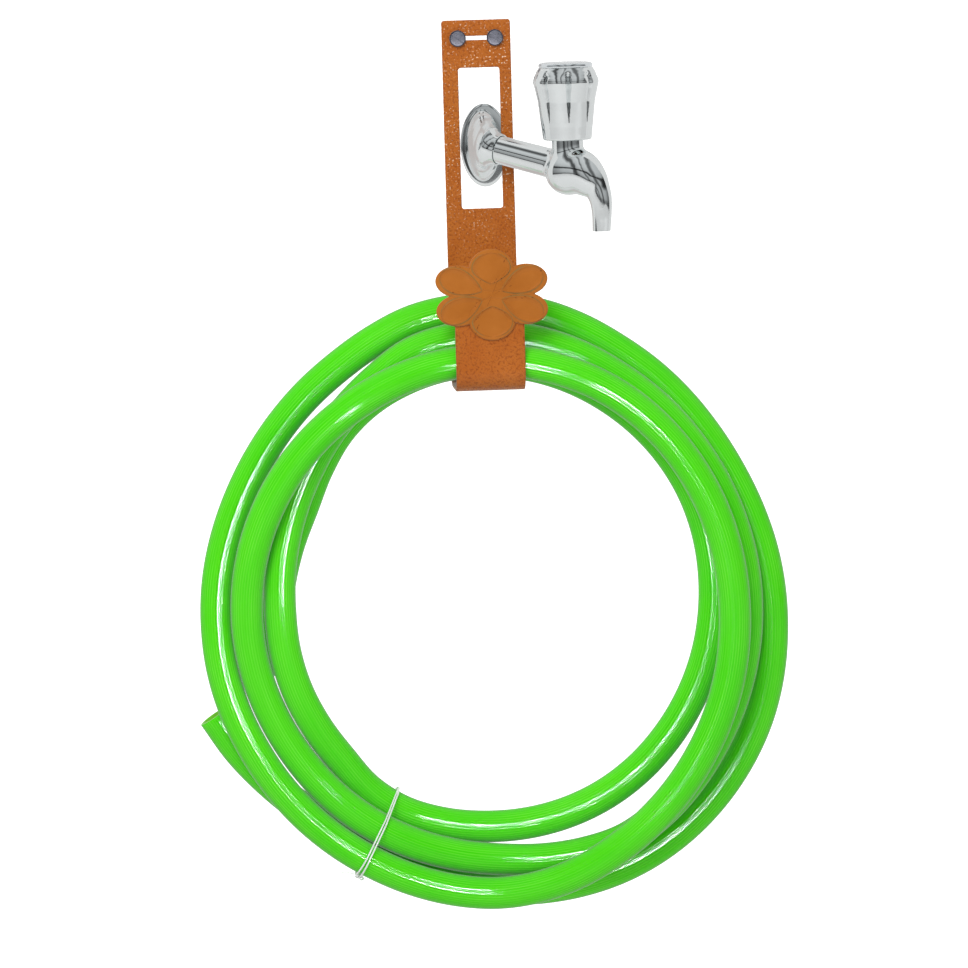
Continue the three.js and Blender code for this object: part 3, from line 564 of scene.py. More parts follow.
def metal(name, dark, light, rough, scale=300):
    """Bare metal, mottled at the given features a metre, between two tones and two roughnesses."""
    look = Look(name, light, rough[0], 1.0)
    mottled = look.noise(scale, 4, 0.6)
    look.color(look.mix(mottled, dark, light))
    look.rough(look.ramp(mottled, [(0.3, rough[0]), (0.7, rough[1])]))
    look.bump(look.noise(scale * 6, 3), 0.00005, 0.4)
    return look


def turned_steel(name, centre):
    """Zinc-plated head with the fine rings of turning about its own centre, and a rim darkened as painted
    shade.
    """
    look = metal(name, (0.10, 0.10, 0.14), (0.34, 0.34, 0.42), (0.22, 0.4), 500)
    from_centre = look.mapped(look.place, Location=tuple(-c for c in centre))
    wave = look.node("ShaderNodeTexWave", wave_type="RINGS", rings_direction="Y")
    wave.inputs["Scale"].default_value = 520
    wave.inputs["Distortion"].default_value = 1.5
    look.feed(from_centre, wave.inputs["Vector"])
    look.bump(wave.outputs["Fac"], 0.00008, 0.5)
    # Painted shade: the rounded rim of the head is darkened.
    reach = look.node("ShaderNodeVectorMath", operation="LENGTH")
    look.feed(look.mapped(from_centre, Scale=(100, 0, 100)), reach.inputs[0])  # flat, in centimetres
    rim = look.ramp(reach.outputs["Value"], [(0.45, 0.0), (0.52, 1.0)])
    rings = look.mix(wave.outputs["Fac"], (0.30, 0.30, 0.38), (0.72, 0.72, 0.84))
    look.color(look.mix(rim, rings, (0.05, 0.05, 0.08)))
    return look.material


def soft(name, dark, light, rough, scale, bump):
    """Rubber, fibre or plastic without shine."""
    look = Look(name, light, rough)
    look.color(look.mix(look.noise(scale, 4, 0.6), dark, light))
    dull = [(0.3, rough * 0.85), (0.7, min(1.0, rough * 1.15))]
    look.rough(look.ramp(look.noise(scale * 3, 3), dull))
    look.bump(look.noise(scale * 4, 3), bump, 0.5)
    return look.material


def cord_look():
    look = Look("cord_fibre", (0.80, 0.83, 0.79), 0.38)
    look.deep(0.3, (0.5, 0.5, 0.5), 0.001)
    fibre = look.lay_noise((14, 900), 3, 0.6)
    look.color(look.mix(fibre, (0.60, 0.64, 0.60), (0.93, 0.95, 0.92)))
    look.bump(fibre, 0.0001, 0.6)
    return look.material


def wear(obj, material):
    obj.data.materials.clear()
    obj.data.materials.append(material)


def dress(piece, material, body, node=None, crisp=None):
    """Gives a piece its shading, material and body, and hides the CAD node that it stands for."""
    if crisp is not None:
        shade(piece, crisp)
    wear(piece, material)
    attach(piece, body)
    if node:
        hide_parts(node)


# ---- hose ----------------------------------------------------------------------------------------

HOSE_R = 11 * MM
HOSE_BORE_R = 8.3 * MM
HOSE_RIBS = 38
RIB_DEPTH = 0.11 * MM
RIB_POINTS = 5  # points of the outline to a rib
HOSE_STEP = 4.6 * MM  # between rings along the hose
BORE_STEP = 3  # the bore has a ring for every third one outside
HOSE_LIP = 0.35 * MM  # the bevel at the cut ends


def ring_centres(node, mount):
    """The centre line of a tube made ring by ring, followed from the ring on the mount's face."""
    mesh = NODES[node].data
    co = coords(NODES[node])
    keys, inverse = np.unique(np.round(co / 2e-6).astype(np.int64), axis=0, return_inverse=True)
    inverse = inverse.ravel()
    points = np.zeros((len(keys), 3))
    points[inverse] = co
    near = [set() for _ in keys]
    for edge in mesh.edges:
        a, b = inverse[edge.vertices[0]], inverse[edge.vertices[1]]
        if a != b:
            near[a].add(b)
            near[b].add(a)
    origin, axis = np.array(mount["pos_m"]), np.array(mount["axis"])
    off = (points - origin) @ axis
    close = np.linalg.norm(points - origin, axis=1) < 2.2 * HOSE_R
    layer = set(np.where((np.abs(off) < 5e-5) & close)[0])
    seen = set(layer)
    centres = []
    while layer:
        centres.append(points[list(layer)].mean(0))
        following = set()
        for i in layer:
            following |= near[i] - seen
        seen |= following
        layer = following
    return np.array(centres)


def hose():
    """The ribbed hose, laid along the centre line of the CAD node. Returns its line."""
    path, along = smooth_curve(ring_centres("hose", MOUNTS["hose_tail_end"]), HOSE_STEP)
    tangent, normal, side = carried_frames(path)
    count = HOSE_RIBS * RIB_POINTS
    angle = round_angles(count)
    outline = HOSE_R - RIB_DEPTH * (0.5 - 0.5 * np.cos(angle * HOSE_RIBS))
    end = len(path) - 1
    rings, distance = [], []

    def add_ring(k, radius, shift=0.0):
        rings.append(path[k] + ellipse(angle, (radius, radius), (normal[k], side[k])) + tangent[k] * shift)
        distance.append(along[k] + shift)

    add_ring(0, outline - HOSE_LIP)
    add_ring(0, outline, HOSE_LIP)
    for k in range(1, end):
        add_ring(k, outline)
    add_ring(end, outline, -HOSE_LIP)
    add_ring(end, outline - HOSE_LIP)
    outer_rings = len(rings)
    for k in [end, *reversed(range(0, end, BORE_STEP))]:
        add_ring(k, HOSE_BORE_R)
    piece = loft("hose.ribbed", rings, closed=True, along=distance)
    dress(piece, vinyl(), "hose_coil", "hose")
    piece.data.materials.append(vinyl_bore())
    index = np.zeros(len(piece.data.polygons), np.int32)
    index[(outer_rings - 1) * count :] = 1
    piece.data.polygons.foreach_set("material_index", index)
    return path


# ---- tie -----------------------------------------------------------------------------------------

TIE_ANGLE = math.radians(241)  # round the coil's axis, from the right
COIL_CENTRE = np.array([-0.2, 0.0, -378.1]) * MM
CORD_R = 0.62 * MM
CORD_SPREAD = 1.5 * MM  # half the room between the two turns
CORD_LIFT = 0.25 * MM  # off the hose
CORD_LAY = 3.2 * MM  # one twist of the cord
KNOT_R = 1.5 * MM
TAILS = [(-9, -4, -6), (-13, 1, 3)]  # where the two tails end, from the knot, in millimetres


def passes_at(path, angle):
    """Where the hose crosses a half plane through the coil's axis: radius and place along Y."""
    flat = path - COIL_CENTRE
    across = flat[:, 0] * math.cos(angle) + flat[:, 2] * math.sin(angle)
    beside = -flat[:, 0] * math.sin(angle) + flat[:, 2] * math.cos(angle)
    seen = np.stack([across, path[:, 1]], 1)
    hits = []
    for i in range(len(path) - 1):
        if across[i] > 0 and beside[i] * beside[i + 1] <= 0:
            t = beside[i] / (beside[i] - beside[i + 1])
            hits.append(seen[i] + t * (seen[i + 1] - seen[i]))
    return np.array(hits)


def cord_tube(name, points, radius, closed):
    """A two-ply twisted cord along a line."""
    path, along = smooth_curve(points, 0.55 * MM)
    if closed:
        path, along = path[:-1], along[:-1]
    _, normal, side = carried_frames(path, closed)
    angle = round_angles(14)
    length = along[-1] + np.linalg.norm(path[0] - path[-1]) * closed
    twist = round(length / CORD_LAY) * 2 * math.pi / length
    rings = []
    for k in range(len(path)):
        lobes = radius * (0.86 + 0.14 * np.cos(2 * (angle + along[k] * twist)))
        rings.append(path[k] + ellipse(angle, (lobes, lobes), (normal[k], side[k])))
    return loft(name, rings, closed=closed, along=along)


def two_turns(hits, radial, along):
    """A cord pulled twice round the passes, side by side, as points about evenly spaced."""
    centres = np.outer(hits[:, 0], radial) + np.outer(-hits[:, 1], OUT) + COIL_CENTRE
    flat = np.stack([hits[:, 0], -hits[:, 1]], 1)
    spaced = []
    for phase in round_angles(240) * 2:
        way = np.array([math.cos(phase), math.sin(phase)])
        reach = flat @ way
        weight = np.exp((reach - reach.max()) / (0.6 * MM))
        base = weight @ centres / weight.sum()
        lift = HOSE_R + CORD_R + CORD_LIFT + CORD_R * (1 + math.sin(phase / 2))
        point = base + (radial * way[0] + OUT * way[1]) * lift + along * CORD_SPREAD * math.cos(phase / 2)
        if not spaced or np.linalg.norm(point - spaced[-1]) > 1.2 * MM:
            spaced.append(point)
    return np.array(spaced + spaced[:1])


def trefoil(centre, radial, along):
    t = np.append(round_angles(60), 0)
    rise = np.outer(0.7 * (np.sin(t) + 2 * np.sin(2 * t)), along)
    reach = np.outer(0.5 * (np.cos(t) - 2 * np.cos(2 * t)), radial)
    depth = np.outer(0.7 * np.sin(3 * t), OUT)
    return centre + KNOT_R * (rise + reach - depth)


def tie(path):
    """The cord tied round all the passes at one place of the coil."""
    radial = np.array([math.cos(TIE_ANGLE), 0, math.sin(TIE_ANGLE)])
    along = np.array([-math.sin(TIE_ANGLE), 0, math.cos(TIE_ANGLE)])
    loop = two_turns(passes_at(path, TIE_ANGLE), radial, along)
    knot = loop[0] + OUT * 1.0 * MM
    pieces = [
        cord_tube("hose_tie.cord", loop, CORD_R, True),
        cord_tube("hose_tie.knot", trefoil(knot, radial, along), CORD_R, True),
    ]
    for i, offset in enumerate(TAILS):
        end = knot + np.array(offset) * MM
        middle = (knot + end) / 2 + np.array([0, 0, 2.0]) * MM
        points = [knot * (1 - t) ** 2 + middle * 2 * t * (1 - t) + end * t * t for t in np.linspace(0, 1, 8)]
        pieces.append(cord_tube(f"hose_tie.end{i}", points, CORD_R * 0.5, False))
    look = cord_look()
    for piece in pieces:
        dress(piece, look, "hose_coil")
    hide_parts("hose_tie")


# ---- hanger --------------------------------------------------------------------------------------


def strap():
    """The CAD strap with rounded edges and a hammered surface, which is deeper near the wall."""
    copy = bpy.data.objects.new("strap.raw", NODES["hanger_strap"].data.copy())
    bpy.context.scene.collection.objects.link(copy)
    bm = bmesh.new()
    bm.from_mesh(copy.data)
    bmesh.ops.remove_doubles(bm, verts=bm.verts, dist=1e-6)
    bm.to_mesh(copy.data)
    bm.free()
    add_remesh(copy, 0.55)
    add_smooth(copy, 3)
    piece = baked(copy, "hanger_strap.painted")
    co = coords(piece)
    normals = np.zeros(len(co) * 3)
    piece.data.vertices.foreach_get("normal", normals)
    grain = noise3(co, 560, 3.0) + 0.6 * noise3(co, 1100, 9.0)
    near_wall = np.clip(co[:, 1] / MM + 4, 0, 1)
    amount = (0.05 + 0.07 * near_wall) * MM
    set_coords(piece, co + normals.reshape(-1, 3) * (grain * amount)[:, None])
    piece.data.shade_smooth()
    dress(piece, hammered_paint(), "hanger", "hanger_strap")


# The petals are ovals: centre across and up, half length, half height, turn in degrees.
PETALS = [
    (0, 16.8, 15.2, 14.4, 0),
    (0, -16.6, 15.8, 14.2, 0),
    (22.6, 9.7, 15.4, 10.8, 4),
    (-22.6, 9.7, 15.4, 10.8, -4),
    (22.4, -9.7, 15.4, 10.8, -4),
    (-22.4, -9.7, 15.4, 10.8, 4),
]
FLOWER_X = 1.8
FLOWER_HUB = 15.0
FLOWER_T = 1.6
TEARDROP_START = 7.5  # from the flower's centre to the point of a teardrop
TEARDROP_INSET = 2.6  # from a petal's outline to its teardrop


def petal_share(x, z, petal):
    """A step across and up, as shares of a petal's half length and half height."""
    _, _, long, wide, turn = petal
    c, s = math.cos(math.radians(turn)), math.sin(math.radians(turn))
    return (x * c + z * s) / long, (-x * s + z * c) / wide


def petal_depth(x, z, petal):
    """How deep a point is inside a petal's outline, about, in millimetres."""
    cx, cz, long, wide, _ = petal
    u, v = petal_share(x - cx, z - cz, petal)
    q = np.hypot(u, v) + 1e-9
    gradient = np.hypot(u / long, v / wide) / q + 1e-9
    return (1 - q) / gradient


def teardrop(x, z, petal):
    """Depth inside a petal's pressed teardrop, whose point is towards the middle of the flower."""
    cx, cz, long, wide, _ = petal
    reach = math.hypot(cx, cz)
    ux, uz = cx / reach, cz / reach
    a = x * ux + z * uz
    b = -x * uz + z * ux
    radial = long if cx else wide
    cross = (wide if cx else long) - TEARDROP_INSET
    near, middle, far = TEARDROP_START, reach + 1.5, reach + radial - TEARDROP_INSET
    t = np.clip((a - near) / (middle - near), 0, 1)
    inward = cross * np.sin(t * math.pi / 2) ** 0.85
    outward = cross * np.sqrt(np.clip(1 - ((a - middle) / (far - middle)) ** 2, 0, 1))
    inside = np.where(a < middle, inward, outward) - np.abs(b)
    return np.where((a > near) & (a < far), inside, -3.0)


def flower_reach(angle):
    """How far the outline of hub and petals is from the flower's centre at each angle."""
    reach = np.full(len(angle), FLOWER_HUB)
    for petal in PETALS:
        du, dv = petal_share(np.cos(angle), np.sin(angle), petal)
        ou, ov = petal_share(-petal[0], -petal[1], petal)
        qa, qb, qc = du**2 + dv**2, 2 * (du * ou + dv * ov), ou**2 + ov**2 - 1
        root = qb**2 - 4 * qa * qc
        hit = np.where(root > 0, (-qb + np.sqrt(np.maximum(root, 0))) / (2 * qa), 0)
        reach = np.maximum(reach, hit)
    kernel = np.array([1, 2, 3, 2, 1]) / 9
    return np.convolve(np.concatenate([reach[-2:], reach, reach[:2]]), kernel, "valid")


def pressed_form(x, z, depth):
    """How far the pressing stands out where it is depth inside the outline, and how much rim is there."""
    height = 0.35 * np.exp(-((x / 9) ** 2 + (z / 9) ** 2))
    rim = np.zeros(len(x))
    for petal in PETALS:
        drop = teardrop(x, z, petal)
        height += 0.5 * np.exp(-(((drop - 0.25) / 0.62) ** 2)) - 0.4 * ease((drop - 0.5) / 3.5)
        rim = np.maximum(rim, np.exp(-(((drop + 0.45) / 0.42) ** 2)))
        height -= 0.25 * np.exp(-((petal_depth(x, z, petal) / 0.5) ** 2)) * (depth > 1.2)
    fall = np.clip(1 - depth / 1.1, 0, 1)
    return height - 0.9 * fall**2, rim


def flower():
    """The pressed flower: its face from the middle out, the edge, and the flat back."""
    low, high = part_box("flower_plate")
    back = -high.y / MM
    _, lowest_z, _, lowest_half, _ = PETALS[1]
    centre_z = low.z / MM - lowest_z + lowest_half
    angle = round_angles(900)
    reach = flower_reach(angle)
    rings, rims = [], []

    def add_ring(radius, level, rim=0.0):
        x, z = radius * np.cos(angle), radius * np.sin(angle)
        y = np.broadcast_to(-(back + level), len(x))
        rings.append(np.stack([x + FLOWER_X, y, z + centre_z], 1))
        rims.append(np.broadcast_to(rim, len(x)))

    for share in np.concatenate([np.linspace(0.02, 0.94, 70), np.linspace(0.95, 1, 8)]):
        radius = reach * share
        height, rim = pressed_form(radius * np.cos(angle), radius * np.sin(angle), reach - radius)
        add_ring(radius, FLOWER_T + height, rim)
    add_ring(reach, 0.35)
    add_ring(reach - 0.12, 0.0)
    for share in (0.75, 0.4, 0.02):
        add_ring(reach * share, 0.0)
    piece = loft("flower_plate.pressed", np.array(rings) * MM)
    attribute = piece.data.attributes.new("rim", "FLOAT", "POINT")
    attribute.data.foreach_set("value", np.concatenate(rims).astype(np.float32))
    dress(piece, flower_paint(), "hanger", "flower_plate")


HEAD_HIGH = 3.2
SCREW_R, CORE_R = 2.0, 1.45  # of the thread's crests and roots
PITCH = 1.6
SLOT = (16, 2.8, 1.2)  # length, twice its depth, width


def screw(node, turn):
    """A slotted pan head screw, its slot turned by so many radians."""
    low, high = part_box(node)
    centre = ((low.x + high.x) / 2, low.y, (low.z + high.z) / 2)
    tip, seat = -high.y / MM, -low.y / MM - HEAD_HIGH
    profile = [(0, tip), (0.35, tip + 0.6)]
    for h in np.arange(tip + 1.2, seat - 6, PITCH):
        grow = min(1.0, (h - tip) / 6)
        crest = (SCREW_R * grow, h + PITCH * 0.35)
        profile += [(CORE_R * grow, h), crest, (CORE_R * grow, h + PITCH * 0.7)]
    profile += [(1.9, seat - 4.5), (SCREW_R, seat - 0.4), (SCREW_R, seat)]
    profile += [(5.3, seat), (5.6, seat + 0.4), (5.6, seat + 1.6), (5.4, seat + 2.3), (4.8, seat + 2.8)]
    profile += [(3.6, seat + 3.05), (2, seat + 3.18), (0, seat + HEAD_HIGH)]
    body = turned(node + ".turned", profile, (centre[0], 0, centre[2]), "OUT", 72)
    piece = cut_by(body, box_object("groove", SLOT, [c / MM for c in centre], turn))
    dress(piece, turned_steel(node + "_zinc", centre), "hanger", node, 40)


PLUG_BORE = 2.3
PLUG_R = 3.5
COLLAR_R = 4.8
SLIT = (1.2, 20, 12)


def plug(node):
    """A ribbed wall plug with a slit end, and a collar between the wall and the strap."""
    low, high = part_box(node)
    x, z = (low.x + high.x) / 2, (low.z + high.z) / 2
    collar, wall, end = -low.y / MM, -WALL_Y / MM, -high.y / MM
    profile = [(PLUG_BORE, end), (2.9, end)]
    for h in np.arange(end + 2, wall - 8, 2.6):
        profile += [(3.45, h), (PLUG_R, h + 0.5), (3.0, h + 1.6), (3.0, h + 2.0)]
    profile += [(3.2, wall - 6), (PLUG_R, wall - 4), (PLUG_R, wall), (COLLAR_R, wall), (COLLAR_R, collar)]
    profile += [(PLUG_BORE, collar), (PLUG_BORE, end)]
    body = turned(node + ".moulded", profile, (x, 0, z), "OUT", 64)
    slit = box_object("slit", SLIT, (x / MM, high.y / MM + 1 - SLIT[1] / 2, z / MM))
    look = soft("nylon", (0.22, 0.22, 0.21), (0.36, 0.36, 0.34), 0.55, 200, 0.00008)
    dress(cut_by(body, slit), look, "hanger", node, 35)


# ---- tap -----------------------------------------------------------------------------------------
# All in millimetres, until a mesh is made.

VALVE = np.array(JOINTS["knob_turn"]["pos_m"]) / MM
YAW, DROOP = math.radians(55), math.radians(12.6)
TAP_CENTRE = np.array([4.2, WALL_Y / MM, -62.3])
UP = np.array([0, 0, 1.0])
AHEAD = np.array([math.sin(YAW), -math.cos(YAW), 0])
PIPE_WAY = AHEAD * math.cos(DROOP) - UP * math.sin(DROOP)
KNEE = TAP_CENTRE + OUT * 15
VALVE_RISE = 2.5
PIPE_SIZES = ((0, 8.5), (5, 8.5), (12, 9.6), (65.5, 10.2))  # distance from the knee, radius
# Two lines from the valve, each with its distance ahead, its height and its radius.
SPOUT = [
    (0, -4.9, 14.6), (8, -4.8, 15.2), (15.5, -9.4, 12.6), (21, -14.4, 9.4),
    (24.6, -22.9, 7.8), (25.4, -32.9, 6.8), (24.8, -44.8, 6.2), (24.6, -51, 6.2),
]
WATERWAY = [
    (4, 2.6, 3.5), (10, 2.4, 4), (16, -2.4, 4.6), (20.6, -10.8, 5.2),
    (23.8, -21, 5.2), (25.2, -32.9, 4.8), (24.8, -44.8, 4.6), (24.8, -48, 4.6),
]
SPOUT_END = (24.8, -44.8)
BALL_R, BALL_Z = 15.0, -5.0
NECK_R, NECK_LOW, NECK_TOP = 10.7, -6, 21
INLET_R, INLET_BORE, INLET_PITCH = 10.2, 5.6, 1.81


def inlet_points():
    """The pipe's centre line: out of the wall, round the knee and on to the valve."""
    bend_in, bend_out = KNEE - OUT * 10, KNEE + PIPE_WAY * 10
    line = [TAP_CENTRE - OUT * 3, bend_in]
    for t in np.linspace(0, 1, 13)[1:]:
        line.append((1 - t) ** 2 * bend_in + 2 * t * (1 - t) * KNEE + t * t * bend_out)
    line += [KNEE + PIPE_WAY * s for s in (12, 30, 48)]
    return np.array(line + [VALVE - UP * VALVE_RISE])


def pipe_radius(points):
    """Outside radius of the pipe at points on its centre line."""
    along = (points - KNEE) @ PIPE_WAY
    along = np.where((points - KNEE) @ OUT < 0, 0, along)
    return np.interp(along, *zip(*PIPE_SIZES))


def spout_points(rows):
    """Finer points of a line from the valve in the frame, with their radii."""
    fine, _ = smooth_curve(rows, 1.5)
    return VALVE + np.outer(fine[:, 0], AHEAD) + np.outer(fine[:, 1], UP), fine[:, 2]


INLET = inlet_points()
INLET_RADII = pipe_radius(INLET)
SPOUT_LINE, SPOUT_RADII = spout_points(SPOUT)


def to_line(p, line, radii):
    """Signed distance from points to a round line whose radius changes along it."""
    best = np.full(len(p), 1e9)
    for a, b, ra, rb in zip(line[:-1], line[1:], radii[:-1], radii[1:]):
        d = b - a
        t = np.clip(((p - a) @ d) / (d @ d), 0, 1)
        best = np.minimum(best, np.linalg.norm(p - a - t[:, None] * d, axis=1) - (ra + t * (rb - ra)))
    return best


def blend_min(a, b, k):
    """The smaller of two distances, with a fillet of about k where they meet."""
    h = np.clip(0.5 + 0.5 * (b - a) / k, 0, 1)
    return b * (1 - h) + a * h - k * h * (1 - h)


def body_distance(p):
    """Signed distance from points to the cast body: ball, neck, spout and pipe, with fillets."""
    d = p - VALVE
    ball = np.linalg.norm(d * np.array([1, 1, 0.98]) - UP * BALL_Z, axis=1) - BALL_R
    ends = np.maximum(NECK_LOW - d[:, 2], d[:, 2] - NECK_TOP)
    neck = np.maximum(np.hypot(d[:, 0], d[:, 1]) - NECK_R, ends)
    spout = to_line(p, SPOUT_LINE, SPOUT_RADII)
    pipe = to_line(p, INLET, INLET_RADII)
    return blend_min(blend_min(blend_min(ball, neck, 4.0), spout, 3.0), pipe, 2.2)


def onto_body(start):
    """The points moved onto the body's surface, apart from those that would go far."""
    co = start.copy()
    step = 0.02
    for _ in range(8):
        value = body_distance(co)
        gradient = [(body_distance(co + way * step) - value) / step for way in np.eye(3)]
        gradient = np.stack(gradient, 1)
        gradient /= np.maximum(np.linalg.norm(gradient, axis=1), 1e-6)[:, None]
        co = co - gradient * np.clip(value, -0.6, 0.6)[:, None]
    away = np.linalg.norm(co - start, axis=1) > 6
    co[away] = start[away]
    return co


def skin_of_lines(name, parts, voxel):
    """One rough skin over several tubes, each a line of points with radii."""
    bm = bmesh.new()
    for line, radii in parts:
        tube = loft(name + ".part", tube_rings(line, radii, 24) * MM)
        bm.from_mesh(tube.data)
        bpy.data.objects.remove(tube)
    whole = new_object(name + ".whole", [], [])
    bm.to_mesh(whole.data)
    bm.free()
    add_remesh(whole, voxel)
    return baked(whole, name)


def body_cutters():
    """What is cut from the body: its ends, and the rooms and ways for the water."""

    def at_valve(name, profile):
        return turned(name, profile, VALVE * MM, "Z", 72)

    tip = VALVE + AHEAD * SPOUT_END[0] + UP * SPOUT_END[1]
    wall_cut = TAP_CENTRE - OUT * (10 - 0.2)
    lower_room = [(0, -15.6), (5, -15), (8.6, -12.4), (9.8, -9), (8.2, -6.4), (4.6, -5.6), (0, -5.6)]
    return [
        box_object("end_cut", (40, 40, 20), tip - UP * 10),
        box_object("wall_cut", (40, 20, 40), wall_cut),
        at_valve("neck_cut", [(0, 17), (16, 17), (16, 26), (0, 26)]),
        at_valve("valve_room", rounded([(0, -3), (8.1, -3), (8.1, 18), (0, 18)], 0.4)),
        at_valve("seat_hole", [(0, -7), (4.6, -7), (4.6, -2), (0, -2)]),
        at_valve("lower_room", lower_room),
        loft("waterway", tube_rings(*spout_points(WATERWAY), 40) * MM),
    ]


def tap_body():
    heights = np.linspace(-20, 6, 14)
    ball_radii = np.sqrt(np.clip(BALL_R**2 - (heights - BALL_Z) ** 2, 0.5, None))
    neck_line = VALVE + np.outer(np.linspace(NECK_LOW, NECK_TOP, 6), UP)
    parts = [
        (INLET, INLET_RADII),
        (SPOUT_LINE, SPOUT_RADII),
        (VALVE + np.outer(heights, UP), ball_radii),
        (neck_line, np.full(6, NECK_R)),
    ]
    rough = skin_of_lines("tap_body.rough", parts, 0.6)
    set_coords(rough, onto_body(coords(rough) / MM) * MM)
    fix_normals(rough)
    add_smooth(rough, 14)
    piece = cut_by(baked(rough, "tap_body.chromed"), *body_cutters())
    dress(piece, chrome(), "hanger", "tap_body", 50)


def inlet_thread():
    """The threaded end of the pipe, in the wall."""
    profile = [(INLET_BORE, -14), (9.4, -14)]
    for h in np.arange(-13.4, -2.2, INLET_PITCH):
        profile += [(INLET_R, h), (9.3, h + 0.9)]
    profile += [(INLET_R, -1.2), (INLET_R, -0.3), (INLET_BORE, -0.3), (INLET_BORE, -14)]
    piece = turned("tap_body.thread", profile, TAP_CENTRE * MM, "OUT", 80)
    dress(piece, chrome(), "hanger", crisp=25)


FLANGE_HOLE = 8.9
FLANGE_OVAL = 0.585
FLANGE_PLATE = [
    (FLANGE_HOLE, 0.15), (28.0, 0.15), (28.4, 0.5), (28.35, 1.0), (27.8, 1.6), (26.6, 2.0), (22, 2.1),
    (FLANGE_HOLE, 2.1), (FLANGE_HOLE, 0.15),
]
# The neck turns with the pipe. Sideways, distance off the wall, turn in degrees, half width, half height.
FLANGE_NECK = [
    (-1.5, 2.0, 0, 11.9, 24.7), (-1.5, 2.4, 0, 11.65, 24.2), (-1.5, 3.6, 0, 11.55, 23.6),
    (-1.35, 5.0, 2, 11.4, 22.9), (-1.2, 6.2, 4, 11.15, 21.7), (-0.85, 7.5, 11, 11.1, 20.4),
    (-0.5, 8.6, 18, 11.0, 19), (0.15, 10.2, 28, 11.4, 17.4), (0.8, 12, 38, 12, 16),
    (1.15, 14, 47, 12.9, 14.8), (1.5, 16, 55, 13.6, 13.6), (1.8, 16.25, 55, 13.75, 13.75),
    (2.4, 16.65, 55, 13.75, 13.75), (2.7, 16.9, 55, 13.6, 13.6), (3.0, 17.1, 55, 13.1, 13.1),
    (4, 17.8, 55, 12.3, 12.3), (5.2, 18.65, 55, 11.6, 11.6), (6.4, 19.5, 55, 11.1, 11.1),
    (8.8, 21.2, 55, 10.65, 10.65), (8.8, 21.2, 55, 9.85, 9.85),
]


def neck_ring(angle, across, off, turn, wide, high):
    """An oval of the flange's neck, facing the way that the pipe has turned to."""
    yaw = math.radians(turn)
    droop = DROOP * yaw / YAW
    way = np.array([math.sin(yaw) * math.cos(droop), -math.cos(yaw) * math.cos(droop), -math.sin(droop)])
    side = np.cross(way, UP)
    side /= np.linalg.norm(side)
    lower = across * math.tan(DROOP) / math.sin(YAW) if turn else 0
    middle = TAP_CENTRE + np.array([across, -off, -lower])
    return middle + ellipse(angle, (wide, high), (side, np.cross(side, way)))


def flange_plate():
    """The oval plate on the wall, whose hole stays round."""
    profile = rounded(FLANGE_PLATE, 0.5, 3)
    piece = turned("tap_flange.plate", profile, TAP_CENTRE * MM, "OUT", 128, oval=FLANGE_OVAL)
    co = coords(piece) / MM - TAP_CENTRE
    flat = np.hypot(co[:, 0], co[:, 2])
    grow = np.where(flat < FLANGE_HOLE + 0.1, FLANGE_HOLE / np.maximum(flat, 1e-6), 1.0)
    set_coords(piece, (co * np.stack([grow, np.ones(len(co)), grow], 1) + TAP_CENTRE) * MM)
    return piece


def flange_neck():
    """The neck from the plate out to the pipe, and back inside along it."""
    angle = round_angles(96)
    rows = np.array(FLANGE_NECK, float)
    between = [np.linspace(a, b, 4)[:-1] for a, b in zip(rows[:-2], rows[1:-1])]
    rings = [neck_ring(angle, *row) for row in np.concatenate([*between, rows[-2:]])]
    for share in (0.75, 0.5, 0.25):
        across, off, _ = (KNEE + PIPE_WAY * 11 * share - TAP_CENTRE) * (1, -1, 1)
        hole = FLANGE_HOLE + 0.9 * share
        rings.append(neck_ring(angle, across, off, 55, hole, hole))
    rings.append(neck_ring(angle, 0.6, 10.5, 22, FLANGE_HOLE, FLANGE_HOLE))
    rings.append(neck_ring(angle, 0, 2.0, 0, FLANGE_HOLE, FLANGE_HOLE))
    return loft("tap_flange.neck", np.array(rings) * MM, closed=True)


def flange():
    plate, neck = flange_plate(), flange_neck()
    dress(plate, chrome(), "hanger", "tap_flange", 50)
    dress(neck, chrome(), "hanger", crisp=50)


KNOB_LOW = 16.7  # its lower edge, above the valve
KNOB_HEIGHT = 48.9
KNOB_TOP = KNOB_LOW + KNOB_HEIGHT
# The outside without its flutes: height above the knob's lower edge, radius.
KNOB_RINGS = [
    (0, 15.6), (0.35, 16.2), (1, 16.5), (4, 16.85), (9, 17.4), (14, 18.05), (20, 18.9), (26, 19.7),
    (31, 20.9), (35, 21.8), (37.4, 22.5), (38.8, 22.8), (40.2, 22.75), (42, 22.2), (44.4, 21.1),
    (46.4, 19.9), (47.8, 18.9), (48.9, 18.3),
]
# The recess for the cap, the web with the screw's hole, the fit on the spindle and the skirt: radius, height.
KNOB_INSIDE = [
    (17.6, KNOB_TOP), (13.8, KNOB_TOP), (13.6, KNOB_TOP - 0.2), (13.6, 61.5), (13.4, 61.3), (1.8, 61.3),
    (1.6, 61.1), (1.6, 60.3), (3.9, 60.3), (3.9, 44.0), (4.1, 43.7), (13.0, 43.7), (13.2, 43.5),
    (13.2, 17.2), (13.6, KNOB_LOW),
]
CAP_SEAT = KNOB_TOP + 0.3
# The cap's ring below its seat, its rim and its low dome: radius, height above the seat.
CAP = [
    (0, 0), (11.4, 0), (11.5, -2), (13.2, -2), (13.3, 0), (18.0, 0), (18.25, 0.3), (18.3, 1.5), (18.0, 2.2),
    (17.2, 2.7), (16.2, 2.9), (15.6, 2.7), (12, 2.9), (6, 3.2), (0, 3.3),
]
FLUTES = 8
FLUTE_LOW, FLUTE_TOP = 12.0, 41.5
FLUTE_DEEP = 3.0
LAND_FALL = 0.45  # how far a land falls away towards its grooves


